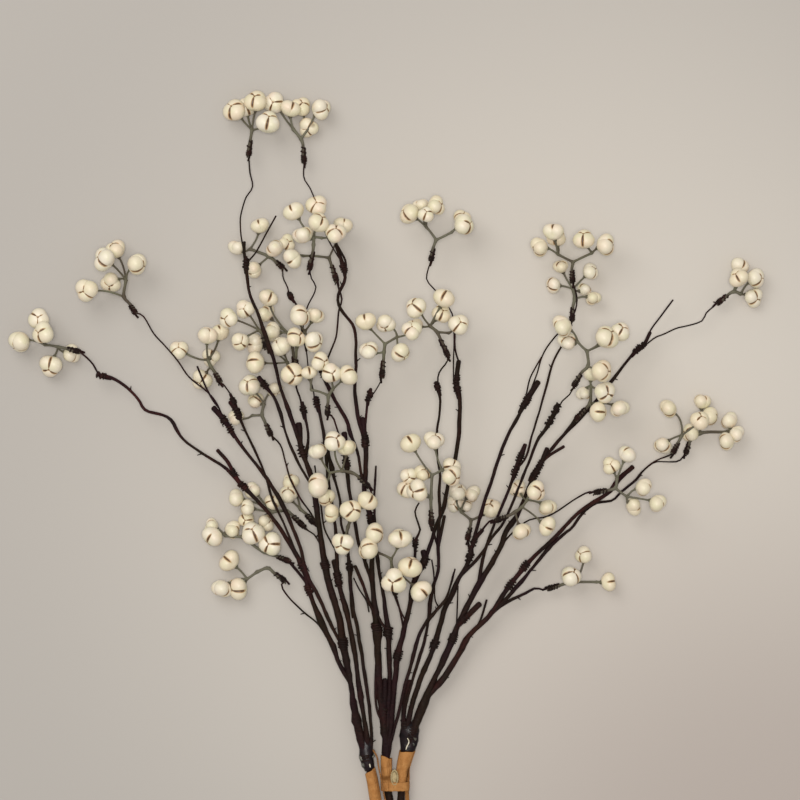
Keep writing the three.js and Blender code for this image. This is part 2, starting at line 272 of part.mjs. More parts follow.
// Sprays: the height of the forks, the stalk from its first fork to its bound end, side arms, and
// the bolls as [across, down, radius in units, lean of the tip in degrees, lift in mm].
const SPRAYS = {
  "spray_far_left": {"height": 8, "stalk": [[58, 347, 12], [66, 348.5, 13.5], [77, 351, 14]],
    "arms": [[45, 345, 9]],
    "bolls": [[20, 341, 11, 15, 0], [39, 319, 10.3, 25, 3], [44, 333, 11.2, 55, 8], [51, 365, 11.5, 10, -5],
      [71, 354, 9.5, 0, -9]]},
  "spray_upper_left": {"height": 16, "stalk": [[126, 280], [124, 297], [129, 303], [134, 311]], "arms": [],
    "bolls": [[87, 290, 11.2, 20, 0], [111, 282, 10.3, -35, -2], [105, 259, 12, 55, 3],
      [116, 250, 10, 10, -6], [136, 264, 10.3, 20, 2]]},
  "spray_mid_left": {"height": 14, "stalk": [[208, 360], [211, 367], [214, 371], [219, 380]], "arms": [],
    "bolls": [[179, 350, 9.3, 10, -8], [207, 336, 10, 30, 2], [220, 333, 9.2, 10, -7],
      [211, 357, 9, -20, -9], [202, 379, 10.5, 0, -9]]},
  "spray_centre_left": {"height": 20, "stalk": [[259, 330, 25.5], [262, 334, 27], [266, 346, 29]], "arms": [],
    "bolls": [[229, 318, 9.6, 20, 0], [245, 309, 9.1, -30, -3], [240, 341, 8.6, 15, -1]]},
  "spray_centre_side": {"height": 22, "stalk": [[287, 362], [289, 367], [292, 377, 21]], "arms": [],
    "bolls": [[256, 363, 11, 35, 2], [255, 344, 10.5, 20, -9], [281, 347, 10.5, -40, 9],
      [292, 374, 11, 65, 6]]},
  "spray_centre_cluster": {"height": 19, "stalk": [[288, 333], [292, 345], [293.5, 355, 18],
      [295, 367, 18]], "arms": [],
    "bolls": [[268, 298, 9.8, 20, 1], [266, 314, 10, 5, -6], [273, 332, 9.6, 20, -2]]},
  "spray_centre_front": {"height": 34, "stalk": [[305, 331], [297, 347, 31], [296, 357, 28],
      [296, 371, 25]], "arms": [],
    "bolls": [[299, 316, 10.5, 35, 4], [315, 316, 8.8, 10, -1], [295, 338, 9.6, 45, 6],
      [313, 341, 10, 20, 2]]},
  "spray_front_middle": {"height": 36, "stalk": [[333, 389], [328.5, 396, 34], [328, 403, 33],
      [327.6, 412, 32]], "arms": [[311, 390]],
    "bolls": [[320, 362, 9.5, 25, 1], [331, 373, 9.6, -35, 8], [348, 376, 10.5, 20, 3],
      [309, 373, 8, 5, -1]]},
  "spray_centre_back": {"height": 10, "stalk": [[264, 404], [262, 415], [265, 422], [270, 433]],
    "arms": [[252, 415.5]],
    "bolls": [[250, 386, 10.5, 10, 0], [256, 401, 8, 0, -6], [275, 389, 8, 10, -1], [236, 418, 8, 0, -6]]},
  "spray_top_left": {"height": 11, "stalk": [[252, 130], [250.5, 139], [249, 153]], "arms": [],
    "bolls": [[235, 111, 11, 20, -2], [256, 102, 11, 20, -1], [246, 108, 9.5, 0, -8],
      [268, 123, 12, 40, 3]]},
  "spray_top_middle": {"height": 9, "stalk": [[293, 129], [301, 139], [303, 145], [304, 160]],
    "arms": [[310, 127]],
    "bolls": [[274, 103, 10.5, 5, -6], [290, 109, 10, 20, 0], [301, 107, 10, 0, -6],
      [320.5, 109, 10.8, 20, 0], [308.6, 127.4, 10, 0, -7]]},
  "spray_crown": {"height": 34, "stalk": [[314, 237], [313.5, 245, 33], [313, 251, 32],
      [310, 267, 28]], "arms": [[322, 238]],
    "bolls": [[294, 212, 10.5, 20, 0], [317, 206, 10.5, 10, -2], [318, 223, 10.5, 60, 5],
      [303, 235.5, 10.5, 30, -1], [335, 234, 10.5, 50, 4]]},
  "spray_back_crown": {"height": 9, "stalk": [[250, 249], [269, 256.5], [275, 261], [281, 266]],
    "arms": [],
    "bolls": [[260, 226, 9.2, 10, -1], [237, 248, 9.2, 5, -4], [254, 269, 8.5, 10, -2],
      [275, 249, 9, 20, 3], [286.5, 243, 8.6, 0, -4]]},
  "spray_side_crown": {"height": 17, "stalk": [[329, 258], [331, 264, 18], [336, 279, 20]],
    "arms": [[303, 256]],
    "bolls": [[293, 258, 10, 20, 3], [343, 226, 9.6, 10, -1]]},
  "spray_middle_right": {"height": 38, "stalk": [[385, 344], [384, 352], [383.6, 359, 37],
      [382, 375, 36]], "arms": [[397, 337]],
    "bolls": [[366, 322, 10, 20, 0], [386, 323, 9.5, -35, 2], [369, 351, 9.5, -20, 4],
      [400, 352, 9.6, 60, 1], [412, 331, 10, 35, 3]]},
  "spray_right_centre": {"height": 33, "stalk": [[430, 326], [437, 332], [440, 338], [447, 354]],
    "arms": [[449, 333]],
    "bolls": [[416.5, 308, 10.5, 55, 0], [444, 299, 10.5, 25, 1], [441, 314, 9.6, 0, -3],
      [458.6, 325, 10, 10, 1], [415, 327, 8.5, 0, -6]]},
  "spray_right_high": {"height": 22, "stalk": [[436, 240], [433.5, 247], [431.5, 258]],
    "arms": [[426, 227], [452, 232]],
    "bolls": [[410, 214, 10.3, 25, 1], [421, 206, 8.6, 5, -5], [435.5, 206, 10, 20, 2],
      [426, 215, 8, 30, 6], [463, 225, 10, 20, 2], [462, 219, 9, 0, -5]]},
  "spray_high_right": {"height": 22, "stalk": [[573, 262], [572, 268], [572.5, 280]],
    "arms": [[558, 254.5], [592, 253]],
    "bolls": [[540, 247, 10, 20, 0], [554, 232, 10.5, 25, 2], [557, 238, 9.5, 0, -6],
      [584, 240, 10.5, 25, 1], [605, 245, 11, 25, 1]]},
  "spray_back_right": {"height": 11, "stalk": [[573, 289], [574.6, 299.5], [573, 306], [572, 318, 12]],
    "arms": [],
    "bolls": [[561, 267, 7.5, 10, 0], [554, 285, 7.8, 10, -1], [590, 272, 8.2, 15, 0],
      [593, 298, 7.8, 10, -1], [584, 290, 7, 0, -4]]},
  "spray_upper_right": {"height": 35, "stalk": [[587, 351], [588, 366], [582, 372, 34.5],
      [575, 384, 34]], "arms": [[577, 341]],
    "bolls": [[563, 326, 11.5, 35, 0], [568, 342, 10, 0, -5], [606, 338, 12, 60, 0],
      [620, 332.5, 9.6, 10, -5], [601, 371, 11, 60, 0]]},
  "spray_right_front": {"height": 23, "stalk": [[591, 386], [590, 403], [587, 407], [577, 418]],
    "arms": [],
    "bolls": [[591, 375, 8, 0, -3], [584, 393, 8, 0, -5], [604, 392, 10.5, 60, 1],
      [597.5, 412, 9.8, -30, 8], [619.5, 408, 9.8, 20, 1]]},
  "spray_far_right": {"height": 7.5, "stalk": [[741, 294], [734, 291.5], [729, 294], [719, 302]],
    "arms": [],
    "bolls": [[739, 266, 9, 0, -4], [739, 278, 10, 50, 4], [755, 278, 9.5, 15, 0],
      [753, 297, 10, 10, -3]]},
  "spray_edge_front": {"height": 14, "stalk": [[682, 435], [678.5, 442], [674, 451]], "arms": [],
    "bolls": [[669, 408, 9.2, 20, 0], [699.5, 421, 9.5, 45, 6], [663, 445, 9, -20, -3.5]]},
  "spray_edge_right": {"height": 6.5, "stalk": [[727, 432], [700, 433.5], [689.5, 442], [686.5, 451]],
    "arms": [],
    "bolls": [[702, 402, 8.7, 0, -3], [709, 416, 9, 10, -1], [691, 433, 9.2, 0, -3],
      [730, 421, 9, 0, -4], [736, 434, 9, 15, 2], [727, 441, 9, 20, 5]]},
  "spray_outer_right": {"height": 21, "stalk": [[617, 478], [615.5, 488], [609, 490], [597, 492, 20.5]],
    "arms": [[627, 496.5]],
    "bolls": [[611, 466, 9, -35, 2], [627, 455, 9.2, 20, 0], [643, 487, 9, 25, 2],
      [633, 506, 9.5, -10, -4], [657, 503, 9.5, 20, 3]]},
  "spray_right_low": {"height": 33, "stalk": [[522, 507], [515, 512], [508, 516], [498, 520]],
    "arms": [[527, 500]],
    "bolls": [[535.5, 491, 10.3, 45, 3], [518, 489, 9, -10, -15], [547, 507, 9.3, 10, -4],
      [547, 526, 10, 25, 1], [521, 531, 9.3, 25, 0]]},
  "spray_low_cluster": {"height": 10, "stalk": [[471, 520], [470.5, 526], [468, 537]],
    "arms": [[461, 512], [482, 515]],
    "bolls": [[457, 492, 9.6, 20, 2], [472, 494, 9, 10, -1], [455, 504, 8, -10, -5], [466, 506, 7, 0, -6],
      [491.5, 509, 9.8, 15, 0]]},
  "spray_middle_low": {"height": 33, "stalk": [[432, 475], [431, 498, 32.5], [431, 508, 31],
      [431.5, 523, 29]], "arms": [[442, 470]],
    "bolls": [[410.6, 444, 10.3, 25, 0], [434, 441, 10.3, 20, 1], [418, 490, 11, 60, 4],
      [407, 490, 9.6, 0, -3], [409, 476, 8.5, 0, -3], [422.5, 474, 8.5, -20, 0],
      [451, 476, 10.4, 60, 1], [451, 467, 9, 0, -4]]},
  "spray_low_front": {"height": 31, "stalk": [[391, 559], [392, 568, 28], [393, 575, 25],
      [395, 592, 20]], "arms": [[378, 553, 29.5]],
    "bolls": [[373.6, 533.6, 10, 10, 5], [369, 549, 11, 50, 2], [400, 539, 12, 30, 0],
      [394, 581, 12.5, 60, 3], [410, 568, 12, 45, 1], [420, 591, 11.5, 25, 1]]},
  "spray_inner_front": {"height": 34, "stalk": [[350, 521], [348, 527, 31], [347, 532, 29],
      [346, 543, 26]], "arms": [],
    "bolls": [[350.5, 511, 10.5, 60, 2], [332, 512.5, 9.3, 10, 2], [366.7, 501, 10.5, 35, 3],
      [343, 543, 11, 55, 1]]},
  "spray_lower_front": {"height": 34, "stalk": [[342, 471], [351, 472.5], [357, 475.5, 34],
      [367, 485, 32]], "arms": [[330, 473]],
    "bolls": [[318, 452, 8.7, 15, 0], [334, 442, 10.5, 45, 3], [347, 448, 9.8, 15, 1],
      [319, 486, 12, 40, 0], [326, 497, 9, 0, -3]]},
  "spray_cross_back": {"height": 8.5, "stalk": [[272, 512], [287, 511], [291, 514, 9.5], [301, 524, 11.5]],
    "arms": [],
    "bolls": [[237, 498, 8.8, 10, -1], [253, 490.5, 8, 20, -2], [248, 508, 8, 0, 2.5],
      [272, 503, 8, 0, -5]]},
  "spray_pair": {"height": 9, "stalk": [[300, 509], [305, 513, 10], [312, 521, 14]], "arms": [],
    "bolls": [[288.5, 495, 9.3, 10, -1], [291, 482, 8.5, 5, -4]]},
  "spray_lower_row": {"height": 8, "stalk": [[242, 537], [264, 552], [276, 556, 9], [287, 560.5, 11]],
    "arms": [[225, 536]],
    "bolls": [[213, 536, 11, 30, 1], [212, 526, 8, 0, -6], [232, 530, 9.5, 0, -6],
      [253, 534, 11.5, 35, 1], [271, 544, 11.5, 50, -1], [266, 523, 9, 0, -6], [247, 520, 8, 0, -6]]},
  "spray_lower_left": {"height": 6.5, "stalk": [[257, 572], [268, 568], [273, 572], [283, 579.5]],
    "arms": [[247, 579]],
    "bolls": [[230, 561, 11, 15, -1], [222, 588, 10.5, 15, 0], [238, 588, 11, 0, -4]]},
  "spray_lower_right": {"height": 8, "stalk": [[577, 582], [568, 583], [561, 585], [550, 588]],
    "arms": [[597, 582]],
    "bolls": [[584, 555, 8.6, 10, 0], [570.6, 577, 10, 30, 3], [608, 582, 9.3, 15, -2]]},
};
// Cut ends and thin bare twigs that are bound to a branch: where each ends, and its thickness.
const SNAGS = [
  ["upper_left_branch", 0.7, [[197.3, 366.4, 24], [206.8, 389, 22], [213, 403, 21]]],
  ["upper_left_branch", 1.9, [[213.5, 407.5, 20], [221, 418, 20]]],
  ["far_left_branch", 1.3, [[217.5, 450, 16], [227, 461, 16], [236, 473, 15.5]]],
  ["mid_left_branch", 1.8, [[230.5, 401.5, 15], [235, 409, 15.5]]],
  ["top_left_branch", 0.7, [[276, 216, 36], [262, 240, 35]]],
  ["middle_right_wire", 1.6, [[362.6, 418, 31], [364, 432, 31]]],
  ["right_high_branch", 1.6, [[459, 361, 24], [459.5, 378, 24]]],
  ["high_branch", 1.5, [[539, 383, 21], [532, 397, 21]]],
  ["high_branch", 1.4, [[482.8, 530, 22], [477.4, 539, 22]]],
  ["right_centre_branch", 1.2, [[444.5, 516, 24], [442, 539.5, 23]]],
  ["right_rod", 1.6, [[547.5, 448.5, 22], [541, 463, 22]]],
  ["right_rod", 1.1, [[564, 446.5, 22], [549, 458, 22]]],
  ["far_right_branch", 0.7, [[673, 300, 11], [661, 317, 11], [649, 334, 11]]],
  ["outer_branch", 0.8, [[486.7, 600, 14], [478, 617, 13]]],
  ["right_rod", 2.0, [[480, 604, 17], [468, 621, 15]]],
  ["right_rod", 1.7, [[410, 681, 9.2], [406, 697, 8.6], [403.5, 717, 7.6], [404, 735, 6.4]]],
  ["right_high_branch", 2.0, [[423.5, 551, 17.5], [424, 559, 17.5]]],
  ["middle_rod", 1.8, [[385, 679.5, 12], [386, 715, 8.6]]],
  ["middle_rod", 0.9, [[377, 650, 16], [375.8, 685.7, 12], [376.3, 703.6, 10]]],
  ["crown_branch", 2.1, [[334.5, 560.5, 20], [336.5, 572, 20]]],
];

const WRAP_GAP = 0.45;
const WRAP_SIDES = 10;
const WRAPS = {
  "wrap_left": {"rod": "left_rod", "top": 771, "bottom": 817, "topRadius": 3.7, "bottomRadius": 3.9},
  "wrap_middle": {"rod": "middle_rod", "top": 757, "bottom": 792, "topRadius": 3.7, "bottomRadius": 3.4},
  "wrap_right": {"rod": "right_rod", "top": 751, "bottom": 791, "topRadius": 5.2, "bottomRadius": 3.3},
};

const BAND = {"from": 388.6, "to": 401.8, "middle": 786, "height": 5.4, "radius": 4.5,
  "thickness": 0.5, "width": 5.5};
const RING = {"across": 394.5, "down": 777.5, "height": 10.2, "radius": 4.6, "cord": 0.6,
  "squash": 0.45};
const TWINE = {"radius": 0.55, "path": [[373, 750, 10.2], [377, 757, 10], [378.5, 766, 10.2],
  [380.6, 776.5, 11.8], [382.3, 786, 12.35], [384.5, 797, 12], [387, 806, 9.9]]};

// ---- From the layout to the real size --------------------------------------------------------------

const UP = new THREE.Vector3(0, 0, 1);
const RIGHT = new THREE.Vector3(1, 0, 0);
const STEEP = 0.9;

// Where a layout point is, in millimetres. A nearer piece looks larger, so it lies closer to the middle.
function place([across, down, height]) {
  const unit = (LAYOUT_UNIT * (EYE_HEIGHT - height)) / (EYE_HEIGHT - LAYOUT_PLANE);
  return new THREE.Vector3((across - LAYOUT_MIDDLE[0]) * unit, (LAYOUT_MIDDLE[1] - down) * unit, height);
}

// Places a list of layout points. A point without a height takes one between its neighbours' heights.
function placeAll(points, startHeight = null) {
  const heights = points.map((point) => point[2] ?? null);
  if (heights[0] === null) {
    heights[0] = startHeight;
  }
  for (let i = 1; i < points.length; i += 1) {
    heights[i] = heights[i] ?? heights[i - 1];
  }
  return points.map((point, i) => place([point[0], point[1], heights[i]]));
}

function nearest(points, target) {
  return points.reduce((best, point) =>
    (point.distanceTo(target) < best.distanceTo(target) ? point : best));
}

// The same, as it is seen from above.
function nearestSeen(points, target) {
  const seen = (point) => Math.hypot(point.x - target.x, point.y - target.y);
  return points.reduce((best, point) => (seen(point) < seen(best) ? point : best));
}

// The point of a route that is nearest to the target, as it is seen from above.
function nearestOnRoute(route, target) {
  const points = [];
  for (let i = 1; i < route.length; i += 1) {
    for (let part = 0; part <= ROUTE_PARTS; part += 1) {
      points.push(route[i - 1].clone().lerp(route[i], part / ROUTE_PARTS));
    }
  }
  return nearestSeen(points, target);
}

function isBetween(point, from, to) {
  return from.distanceTo(point) + point.distanceTo(to) < from.distanceTo(to) + 0.01;
}

function towards(from, to, distance) {
  const way = to.clone().sub(from).normalize();
  return to.clone().addScaledVector(way, distance);
}

// ---- Solids ----------------------------------------------------------------------------------------

function solidOf(positions, triangles) {
  const mesh = new wasm.Mesh({
    numProp: 3,
    vertProperties: Float32Array.from(positions),
    triVerts: Uint32Array.from(triangles),
  });
  return new wasm.Manifold(mesh);
}

function solidFromGeometry(source) {
  const geometry = source.clone();
  geometry.deleteAttribute("normal");
  geometry.deleteAttribute("uv");
  const merged = mergeVertices(geometry, 1e-4);
  return solidOf(merged.attributes.position.array, merged.index.array);
}

function fuse(solids) {
  return solids.reduce((whole, solid) => whole.add(solid));
}

function meshOf(name, solid, material) {
  const { vertProperties, triVerts } = solid.getMesh();
  const geometry = new THREE.BufferGeometry();
  geometry.setAttribute("position", new THREE.BufferAttribute(vertProperties, 3));
  geometry.setIndex(new THREE.BufferAttribute(triVerts, 1));
  geometry.computeVertexNormals();
  const mesh = new THREE.Mesh(geometry, material);
  mesh.name = name;
  return mesh;
}

// A closed tube through the given points with a radius at each. Nothing reaches below the surface.
function tube(points, radii, sides) {
  const last = points.length - 1;
  const positions = [];
  const triangles = [];
  let side = null;
  points.forEach((point, i) => {
    const way = points[Math.min(i + 1, last)].clone().sub(points[Math.max(i - 1, 0)]).normalize();
    const lead = Math.abs(way.z) < STEEP ? UP : side ?? RIGHT;
    side = lead.clone().addScaledVector(way, -lead.dot(way)).normalize();
    const across = new THREE.Vector3().crossVectors(way, side);
    for (let k = 0; k < sides; k += 1) {
      const turn = (2 * Math.PI * (k + 0.5)) / sides;
      const corner = point.clone()
        .addScaledVector(side, radii[i] * Math.cos(turn))
        .addScaledVector(across, radii[i] * Math.sin(turn));
      positions.push(corner.x, corner.y, Math.max(corner.z, 0));
    }
  });
  for (let i = 0; i < last; i += 1) {
    for (let k = 0; k < sides; k += 1) {
      const a = i * sides + k;
      const b = i * sides + ((k + 1) % sides);
      triangles.push(a, b, b + sides, a, b + sides, a + sides);
    }
  }
  for (let k = 1; k < sides - 1; k += 1) {
    triangles.push(0, k + 1, k);
    triangles.push(last * sides, last * sides + k, last * sides + k + 1);
  }
  return solidOf(positions, triangles);
}

// A smooth route through the points, in even steps.
function smoothRoute(points) {
  const curve = new THREE.CatmullRomCurve3(points, false, "centripetal");
  return curve.getSpacedPoints(Math.max(1, Math.round(curve.getLength() / STRAND_STEP)));
}

// ---- Bolls and sprays ------------------------------------------------------------------------------

// How a boll of a spray sits: its middle, its radius, its fork and the way its tip points, which is
// straight away from the fork.
function bollPose(nodes, height, [across, down, radiusInUnits, lean, lift]) {
  const radius = radiusInUnits * LAYOUT_UNIT;
  const node = nearestSeen(nodes, place([across, down, height]));
  const rise = node.z + BOLL_SEAT * radius * Math.sin(THREE.MathUtils.degToRad(lean)) + lift;
  const middle = place([across, down, Math.max(rise, BOLL_FLAT * radius)]);
  const axis = middle.clone().sub(node).normalize();
  return { middle, radius, axis, node };
}

// The two directions across an axis.
function sidesAcross(axis) {
  const lead = Math.abs(axis.z) < STEEP ? UP : RIGHT;
  const side = lead.clone().addScaledVector(axis, -lead.dot(axis)).normalize();
  return [side, new THREE.Vector3().crossVectors(axis, side)];
}

// A boll with its pedicel as one closed surface: three bulging lobes with seams between them, which
// meet in a shallow hollow at the tip, and a thin three-sided stalk from its back down to its fork.
function bollSolid({ middle, radius, axis, node }) {
  const [side, across] = sidesAcross(axis);
  const positions = [];
  const triangles = [];
  const addRing = (along, corners, widthAt) => {
    for (let k = 0; k < corners; k += 1) {
      const turn = (2 * Math.PI * k) / corners;
      const point = middle.clone()
        .addScaledVector(axis, along)
        .addScaledVector(side, widthAt(turn) * Math.cos(turn))
        .addScaledVector(across, widthAt(turn) * Math.sin(turn));
      positions.push(point.x, point.y, Math.max(point.z, 0));
    }
  };
  addRing((1 - BOLL_DIMPLE) * BOLL_HEIGHT * radius, 1, () => 0);
  for (let ring = 1; ring < BOLL_RINGS; ring += 1) {
    const polar = (Math.PI * ring) / BOLL_RINGS;
    const waist = Math.sin(polar);
    const seam = (turn) => 0.5 + 0.5 * Math.cos(3 * turn);
    addRing(BOLL_HEIGHT * radius * Math.cos(polar), BOLL_SIDES, (turn) =>
      BOLL_SWELL * radius * waist * (1 - BOLL_GROOVE * seam(turn) * waist));
  }
  const back = BOLL_SEAT * radius;
  const reach = Math.max(middle.distanceTo(node), back + PEDICEL_RADIUS);
  addRing(-back, PEDICEL_SIDES, () => PEDICEL_RADIUS);
  addRing(-reach, PEDICEL_SIDES, () => PEDICEL_RADIUS);

  for (let k = 0; k < BOLL_SIDES; k += 1) {
    const next = (k + 1) % BOLL_SIDES;
    triangles.push(0, 1 + k, 1 + next);
    for (let upper = 1; upper < 1 + (BOLL_RINGS - 2) * BOLL_SIDES; upper += BOLL_SIDES) {
      const lower = upper + BOLL_SIDES;
      triangles.push(upper + k, lower + k, lower + next, upper + k, lower + next, upper + next);
    }
  }
  const rim = 1 + (BOLL_RINGS - 2) * BOLL_SIDES;
  const neck = rim + BOLL_SIDES;
  const foot = neck + PEDICEL_SIDES;
  for (let k = 0; k < PEDICEL_SIDES; k += 1) {
    const next = (k + 1) % PEDICEL_SIDES;
    const lobe = rim + 2 * k + 1;
    triangles.push(lobe - 1, neck + k, lobe, lobe, neck + k, neck + next);
    triangles.push(lobe, neck + next, rim + 2 * next);
    triangles.push(neck + k, foot + k, foot + next, neck + k, foot + next, neck + next);
  }
  triangles.push(foot, foot + 2, foot + 1);
  return solidOf(positions, triangles);
}

function stalkPoints({ height, stalk }) {
  return placeAll(stalk, height);
}

// The bound end of a stalk: where the binding starts, and where the stub ends in it.
function boundEnd(spray) {
  const [bend, end] = stalkPoints(spray).slice(-2);
  return [towards(end, bend, -BEND_ROOM), end];
}

function spraySolid(spray) {
  const stalk = stalkPoints(spray);
  const arms = spray.arms.map((arm) => place([arm[0], arm[1], arm[2] ?? spray.height]));
  const forks = stalk.slice(0, -2);
  const nodes = [...forks, ...arms];
  const [, stubEnd] = boundEnd(spray);
  const tip = towards(stalk[1], stalk[0], PEDICEL_RADIUS);
  const stub = [tip, ...stalk.slice(1, -1), towards(stalk.at(-2), stubEnd, -SEAT_GAP)];
  const radii = stub.map((point, i) => (i < forks.length ? FORK_RADIUS : STUB_RADIUS));
  const solids = [tube(stub, radii, FORK_SIDES)];
  arms.forEach((arm) => {
    const fork = nearestSeen(forks, arm);
    solids.push(tube([fork, towards(fork, arm, PEDICEL_RADIUS)], [FORK_RADIUS, FORK_RADIUS], FORK_SIDES));
  });
  spray.bolls.forEach((boll) => {
    solids.push(bollSolid(bollPose(nodes, spray.height, boll)));
  });
  return fuse(solids);
}

// ---- Strands and stems -----------------------------------------------------------------------------

const routes = {};

// The route of a strand from its tip to its foot, which lies on the strand that it joins.
function strandRoute(name) {
  if (!routes[name]) {
    const strand = STRANDS[name];
    const points = [];
    if (strand.holds.length > 0) {
      const [start, end] = boundEnd(SPRAYS[strand.holds[0]]);
      points.push(towards(start, end, 0.3 * BINDING_TAIL));
    }
    points.push(...strand.path.map(place));
    if (strand.joins) {
      points.push(nearestOnRoute(strandRoute(strand.joins), points.at(-1)));
    }
    routes[name] = smoothRoute(points);
  }
  return routes[name];
}

function rootOf(name) {
  const { joins } = STRANDS[name];
  return joins ? rootOf(joins) : name;
}

function sidesOf(name) {
  if (!STRANDS[name].joins) {
    return ROD_SIDES;
  }
  return Math.max(...STRANDS[name].thick) > WIRE_LIMIT ? BRANCH_SIDES : WIRE_SIDES;
}

// The radius of a strand at each point of its route. The facets of a branch stand out at their corners,
// so that the branch is as wide as it should be.
function strandRadii(name) {
  const { joins, thick } = STRANDS[name];
  const route = strandRoute(name);
  const swell = joins ? Math.PI / sidesOf(name) / Math.sin(Math.PI / sidesOf(name)) : 1;
  return route.map((point, i) => {
    const at = (i / (route.length - 1)) * (thick.length - 1);
    const before = Math.min(Math.floor(at), thick.length - 2);
    return swell * Math.max(WIRE_RADIUS, THREE.MathUtils.lerp(thick[before], thick[before + 1], at - before));
  });
}

// A strand as a tapered tube, thicker at each of its taped knots.
function strandSolid(name) {
  const { knots } = STRANDS[name];
  const route = strandRoute(name);
  const radii = strandRadii(name);
  let sections = route.map((point, i) => ({ point, radius: radii[i] }));
  knots.forEach(([across, down]) => {
    const points = sections.map(({ point }) => point);
    const middle = nearestOnRoute(points, place([across, down, LAYOUT_PLANE]));
    const after = points.findIndex((point, i) => i > 0 && isBetween(middle, points[i - 1], point));
    const way = points[after].clone().sub(points[after - 1]).normalize();
    const { radius } = sections[after];
    const knot = [-0.5, 0, 0.5].map((share) => ({
      point: middle.clone().addScaledVector(way, share * KNOT_LENGTH),
      radius: share === 0 ? radius + KNOT_SWELL : radius,
    }));
    const clear = ({ point }) => point.distanceTo(middle) > KNOT_LENGTH;
    const before = sections.slice(0, after).filter((section, i) => i === 0 || clear(section));
    const rest = sections.slice(after);
    sections = [...before, ...knot, ...rest.filter((section, i) => i === rest.length - 1 || clear(section))];
  });
  return tube(sections.map(({ point }) => point), sections.map(({ radius }) => radius), sidesOf(name));
}

function bindingSolid(spray) {
  const [start, end] = boundEnd(spray);
  const tail = towards(start, end, BINDING_TAIL);
  return tube([start, tail], [BINDING_RADIUS, BINDING_RADIUS], BRANCH_SIDES);
}

// The hole that a stub leaves in its binding, open at the top.
function seatSolid(spray) {
  const [start, end] = boundEnd(spray);
  const mouth = towards(end, start, 1);
  const radius = STUB_RADIUS + SEAT_GAP / Math.cos(Math.PI / FORK_SIDES);
  return tube([mouth, end], [radius, radius], FORK_SIDES);
}

// A whole stem: its rod and everything bound to it.
function stemSolid(root) {
  const solids = [];
  const seats = [];
  Object.keys(STRANDS).filter((name) => rootOf(name) === root).forEach((name) => {
    const strand = STRANDS[name];
    const route = strandRoute(name);
    solids.push(strandSolid(name));
    strand.holds.forEach((held, i) => {
      const spray = SPRAYS[held];
      solids.push(bindingSolid(spray));
      seats.push(seatSolid(spray));
      if (i > 0) {
        const [start, end] = boundEnd(spray);
        const from = towards(start, end, 0.3 * BINDING_TAIL);
        const to = nearest(route.slice(1), from);
        solids.push(tube([from, to], [WIRE_RADIUS, WIRE_RADIUS], WIRE_SIDES));
      }
    });
  });
  SNAGS.filter(([joins]) => rootOf(joins) === root).forEach(([joins, radius, path]) => {
    const points = path.map(place);
    points.splice(-1, 1, nearestOnRoute(strandRoute(joins), points.at(-1)));
    solids.push(tube(points, points.map(() => radius), WIRE_SIDES));
  });
  return seats.reduce((stem, seat) => stem.subtract(seat), fuse(solids));
}

// ---- Wraps and tie ---------------------------------------------------------------------------------

// A paper wrap: a sleeve round its rod, between two stations of the layout.
function wrapSolid({ rod, top, bottom, topRadius, bottomRadius }) {
  const route = strandRoute(rod);
  const radii = strandRadii(rod);
  const from = place([LAYOUT_MIDDLE[0], top, LAYOUT_PLANE]).y;
  const to = place([LAYOUT_MIDDLE[0], bottom, LAYOUT_PLANE]).y;
  const cut = route.findIndex((point) => point.y < from);
  const inside = route.filter((point) => point.y < from && point.y > to);
  const end = cut + inside.length;
  const atHeight = (i, y) => {
    const share = (route[i - 1].y - y) / (route[i - 1].y - route[i].y);
    return route[i - 1].clone().lerp(route[i], share);
  };
  const middle = [atHeight(cut, from), ...inside, atHeight(end, to)];
  const shell = tube(middle, middle.map((point) =>
    THREE.MathUtils.lerp(topRadius, bottomRadius, (from - point.y) / (from - to))), WRAP_SIDES);
  const bore = tube(route, radii.map((radius) => radius + WRAP_GAP), ROD_SIDES);
  return shell.subtract(bore);
}

// The band that holds two wraps together, with a small ring of the same cord standing on it.
function bandSolid() {
  const left = place([BAND.from, BAND.middle, BAND.height]);
  const right = place([BAND.to, BAND.middle, BAND.height]);
  const outline = (radius) => {
    const shape = new THREE.Shape();
    shape.absarc(right.x, BAND.height, radius, -Math.PI / 2, Math.PI / 2, false);
    shape.absarc(left.x, BAND.height, radius, Math.PI / 2, 1.5 * Math.PI, false);
    shape.closePath();
    return shape;
  };
  const extrude = (shape, width) => {
    const settings = { depth: width, bevelEnabled: false, curveSegments: 5 };
    const geometry = new THREE.ExtrudeGeometry(shape, settings);
    geometry.translate(0, 0, -width / 2);
    geometry.rotateX(Math.PI / 2);
    geometry.translate(0, left.y, 0);
    return solidFromGeometry(geometry);
  };
  const band = extrude(outline(BAND.radius + BAND.thickness), BAND.width)
    .subtract(extrude(outline(BAND.radius), 2 * BAND.width));
  const ring = new THREE.TorusGeometry(RING.radius, RING.cord, 5, 10);
  ring.scale(RING.squash, 1, 1);
  const centre = place([RING.across, RING.down, RING.height]);
  ring.translate(centre.x, centre.y, centre.z);
  return band.add(solidFromGeometry(ring));
}

function twineSolid() {
  const route = smoothRoute(TWINE.path.map(place));
  return tube(route, route.map(() => TWINE.radius), WIRE_SIDES);
}

// ---- The whole bunch -------------------------------------------------------------------------------

const materials = {
  boll: new THREE.MeshStandardMaterial({ color: 0xe9dfc8, roughness: 0.75, metalness: 0 }),
  stem: new THREE.MeshStandardMaterial({ color: 0x33231f, roughness: 0.55, metalness: 0 }),
  wrap: new THREE.MeshStandardMaterial({ color: 0xc0935a, roughness: 0.8, metalness: 0 }),
  tie: new THREE.MeshStandardMaterial({ color: 0xb98f60, roughness: 0.75, metalness: 0 }),
};

